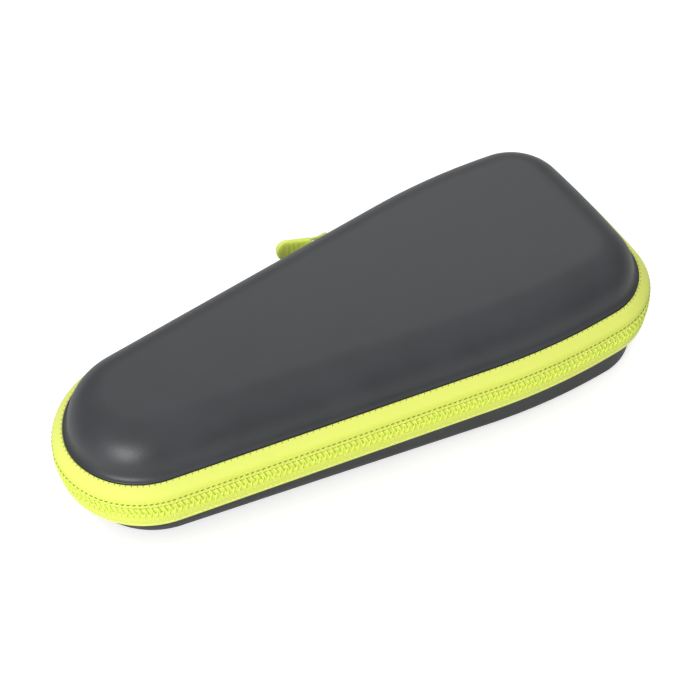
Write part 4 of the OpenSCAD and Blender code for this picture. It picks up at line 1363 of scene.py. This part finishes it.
def hem():
    """The gathered hem, and a row of stitches near either edge on both faces."""
    x0, x1 = NET_X - HEM_W, NET_X - SEAT
    z = BASE_H + NET_G + HEM_T / 2
    reach = side_y((x0 + x1) / 2, HEM_IN)

    def gather(t):
        y = 2 * math.pi * t * reach
        return 0.22 * np.sin(y / 2.9) + 0.1 * np.sin(y / 1.7 + 1.3)

    def place(x, t, h):
        return x, t * side_y(x, HEM_IN), h

    ts = np.linspace(-1, 1, 241)
    spans = np.column_stack([x0 + 0.15 * gather(ts), x1 + 0.15 * gather(ts + 0.02)])
    verts, faces = band(ts, z + 0.12 * gather(ts + 0.01), spans, HEM_T / 2 - 0.06, place)
    obj = tidy(piece("hem", verts, faces, "hem", "lid", "pocket_hem", "elastic"))
    count = int(2 * reach / 2.5)
    along = np.tile([0.0, 1.0, 0.0], (count, 1))
    for row, x in enumerate((x1 - 1.1, x0 + 1.1)):
        for face, way in (("top", 1), ("under", -1)):
            h = z + way * (HEM_T / 2 - 0.1)
            ts = (np.arange(count) + 0.5) / count * 2 - 1
            places = np.array([place(x, t * 0.985, h) for t in ts])
            stitches = many(places, along, upright(count, way), 1.7, 0.16)
            name = f"hem_stitches_{row}_{face}"
            piece(name, *stitches, "dark_thread", "lid", None, "elastic", smooth=60)
    return obj


def net_run():
    """Distances along the rim of the stretch that the net is sewn to."""
    s = np.linspace(0, RIM.total, 4000, endpoint=False)
    p, n = RIM.at(s)
    inside = s[(p - n * NET_IN)[:, 0] > NET_X]
    return np.linspace(inside[0], inside[-1], 260)


def sag(x, y, room):
    """How far the slack net stands out of its plane; none at its edges."""
    wave = np.sin(x * 0.061 + 0.8) * np.cos(y * 0.083 - 0.5) + 0.5 * np.sin(x * 0.13 - y * 0.09)
    return wave * 0.55 * smoothstep(room, 2.0, 16.0)


def net_cells(edge):
    """The cords round each opening, cut off at the net's outline."""
    run = np.roll(edge, -1, 0) - edge
    inward = unit(np.column_stack([-run[:, 1], run[:, 0]]))
    angles = np.arange(12) * math.pi / 6 + math.pi / 6
    spokes = np.column_stack([np.cos(angles), np.sin(angles)])
    flat_r = MESH_R * math.cos(math.pi / 6)
    rim_r = np.where(np.arange(12) % 2 == 0, MESH_R, flat_r)
    hole = (flat_r - MESH_CORD) * (1 + 0.05 * (rim_r > MESH_R * 0.95))
    facing = spokes @ inward.T
    rows, columns = int(50 / (MESH_PITCH * 0.866)) + 1, int(140 / MESH_PITCH) + 1
    for j in range(-rows, rows + 1):
        for i in range(-1, columns):
            shift = (i + (0.5 if j % 2 else 0.0)) * MESH_PITCH
            c = np.array([NET_X + 1.0 + shift, j * MESH_PITCH * math.sqrt(3) / 2])
            away = ((c - edge) * inward).sum(1)
            room = float(away.min())
            if room < LEAST_ROOM:
                continue
            with np.errstate(divide="ignore"):
                limit = np.where(facing < -1e-6, away / -facing, 1e9).min(1)
            outer = np.minimum(rim_r, limit)
            inner = np.minimum(hole, np.maximum(outer - MESH_CORD, LEAST_OPENING))
            rings = []
            for f, h in CORD_SECTION:
                x, y = (c + spokes * (outer + (inner - outer) * f)[:, None]).T
                rings.append(np.column_stack([x, y, NET_Z + CORD_HALF * h + sag(x, y, room)]))
            yield loft(rings)


def net():
    s = net_run()
    p, n = RIM.at(s)
    edge = p - n * (NET_IN + 1.3)
    edge = np.vstack([edge, [[NET_X - 1.0, edge[-1][1]], [NET_X - 1.0, edge[0][1]]]])
    obj = piece("net", *join(net_cells(edge)), "net", "lid", "mesh_pocket", "net")
    area = sum(f.area for f in obj.data.polygons) / 2
    far_in, top = NET_IN + BORDER_W, NET_G + NET_T
    section = [(NET_IN, NET_G + 0.05), (NET_IN, top), (far_in, top + 0.05), (far_in, NET_G - 0.05)]
    section = eased(section, [0.3, 0.3, 0.35, 0.35], 3, True)
    verts, faces, uvs = hoop(s, section, 1, whole=False, section_closed=True)
    faces += caps(len(verts), len(section))
    uvs += [(0.0, 0.0)] * (2 * len(section))
    border = tidy(piece("net_border", verts, faces, "binding", "lid", None, "net", uvs, 60))
    q, w = RIM.at(np.arange(s[0] + 1.2, s[-1] - 1.0, 2.3))
    flat = np.zeros(len(q))
    run = np.column_stack([-w[:, 1], w[:, 0], flat])
    parts = []
    for way in (1, -1):
        places = np.column_stack([q - w * (NET_IN + 1.25), flat + NET_Z + way * (NET_T / 2 + 0.02)])
        parts.append(many(places, run, upright(len(q), way), 1.6, 0.15))
    sewn = ("dark_thread", "lid", None, "net")
    return obj, border, piece("net_border_stitches", *join(parts), *sewn, smooth=60), area


hem_piece = hem()
net_piece, net_border, net_stitches, NET_AREA = net()


# Camera: the photograph's view, and its frame shifted as the photograph's is
CAM_AZ, CAM_EL, CAM_ROLL = math.radians(-27.45), math.radians(52.0), math.radians(2.8)
CAM_FAR = 0.5
east, north = math.sin(CAM_AZ), math.cos(CAM_AZ)
right = Vector((north, east, 0))
up = Vector((-east * math.sin(CAM_EL), north * math.sin(CAM_EL), math.cos(CAM_EL)))
back = Vector((east * math.cos(CAM_EL), -north * math.cos(CAM_EL), math.sin(CAM_EL)))
across = right * math.cos(CAM_ROLL) - up * math.sin(CAM_ROLL)
upward = right * math.sin(CAM_ROLL) + up * math.cos(CAM_ROLL)
cam = bpy.data.cameras.new("camera")
cam.lens, cam.sensor_width = 69.9, 36.0
cam.shift_x, cam.shift_y = -0.0015, 0.0529
camera = added("camera", cam)
turn = Matrix((across, upward, back)).transposed().to_4x4()
camera.matrix_world = Matrix.Translation(back * CAM_FAR) @ turn
bpy.context.scene.camera = camera


# Floor and light
def floor_look():
    m = Look("floor", Specular_IOR_Level=0.0, Emission_Color=(1.0, 1.0, 1.0, 1))
    speck, seen = m.noise(30), m.seen()
    share = m.ranged(speck, 0.3, 0.7)
    greys = (0.80, 0.82), (0.79, 0.81)
    plain, shown = (m.mix(share, (a, a, a, 1), (b, b, b, 1)) for a, b in greys)
    m.put(m.math("MULTIPLY", seen, 0.45), m.shader.inputs["Emission Strength"])
    return m.done(m.mix(seen, plain, shown), speck, 0.9, 0.96)


floor_mesh = bpy.data.meshes.new("floor")
corners = [(x, y, -0.0002) for x, y in ((-4, -4), (4, -4), (4, 4), (-4, 4))]
floor_mesh.from_pydata(corners, [], [(0, 1, 2, 3)])
floor_mesh.materials.append(floor_look())
added("floor", floor_mesh)

# The sky: dim at the horizon, bright above, white to the camera
SKY_LOW, SKY_HIGH = 0.25, 1.02
world = bpy.data.worlds.new("world")
bpy.context.scene.world = world
world.use_nodes = True
background = world.node_tree.nodes["Background"]
background.inputs["Color"].default_value = (1.0, 1.0, 1.0, 1)
sky = Nodes(world.node_tree)
height = sky.axes(sky.node("TexCoord").outputs["Generated"])["Z"]
glow = sky.ranged(height, 0.0, 1.0, SKY_LOW, SKY_HIGH)
shown = sky.node("Mix", None, i0=sky.seen(), i2=glow, i3=1.0)
sky.put(shown.outputs[0], background.inputs["Strength"])


def softbox(name, place, aim, size, power):
    data = bpy.data.lights.new(name, "AREA")
    data.shape, data.size, data.size_y, data.energy = "RECTANGLE", *size, power
    obj = added(name, data)
    obj.location = place
    obj.rotation_euler = (Vector(aim) - Vector(place)).to_track_quat("-Z", "Y").to_euler()


softbox("back", (0.55, 1.0, 1.0), (0, 0, 0), (1.2, 0.9), 3.5)
softbox("left", (-1.1, -0.75, 0.55), (0, 0, 0.02), (0.6, 0.6), 13.0)

bpy.context.scene.view_settings.view_transform = "Standard"
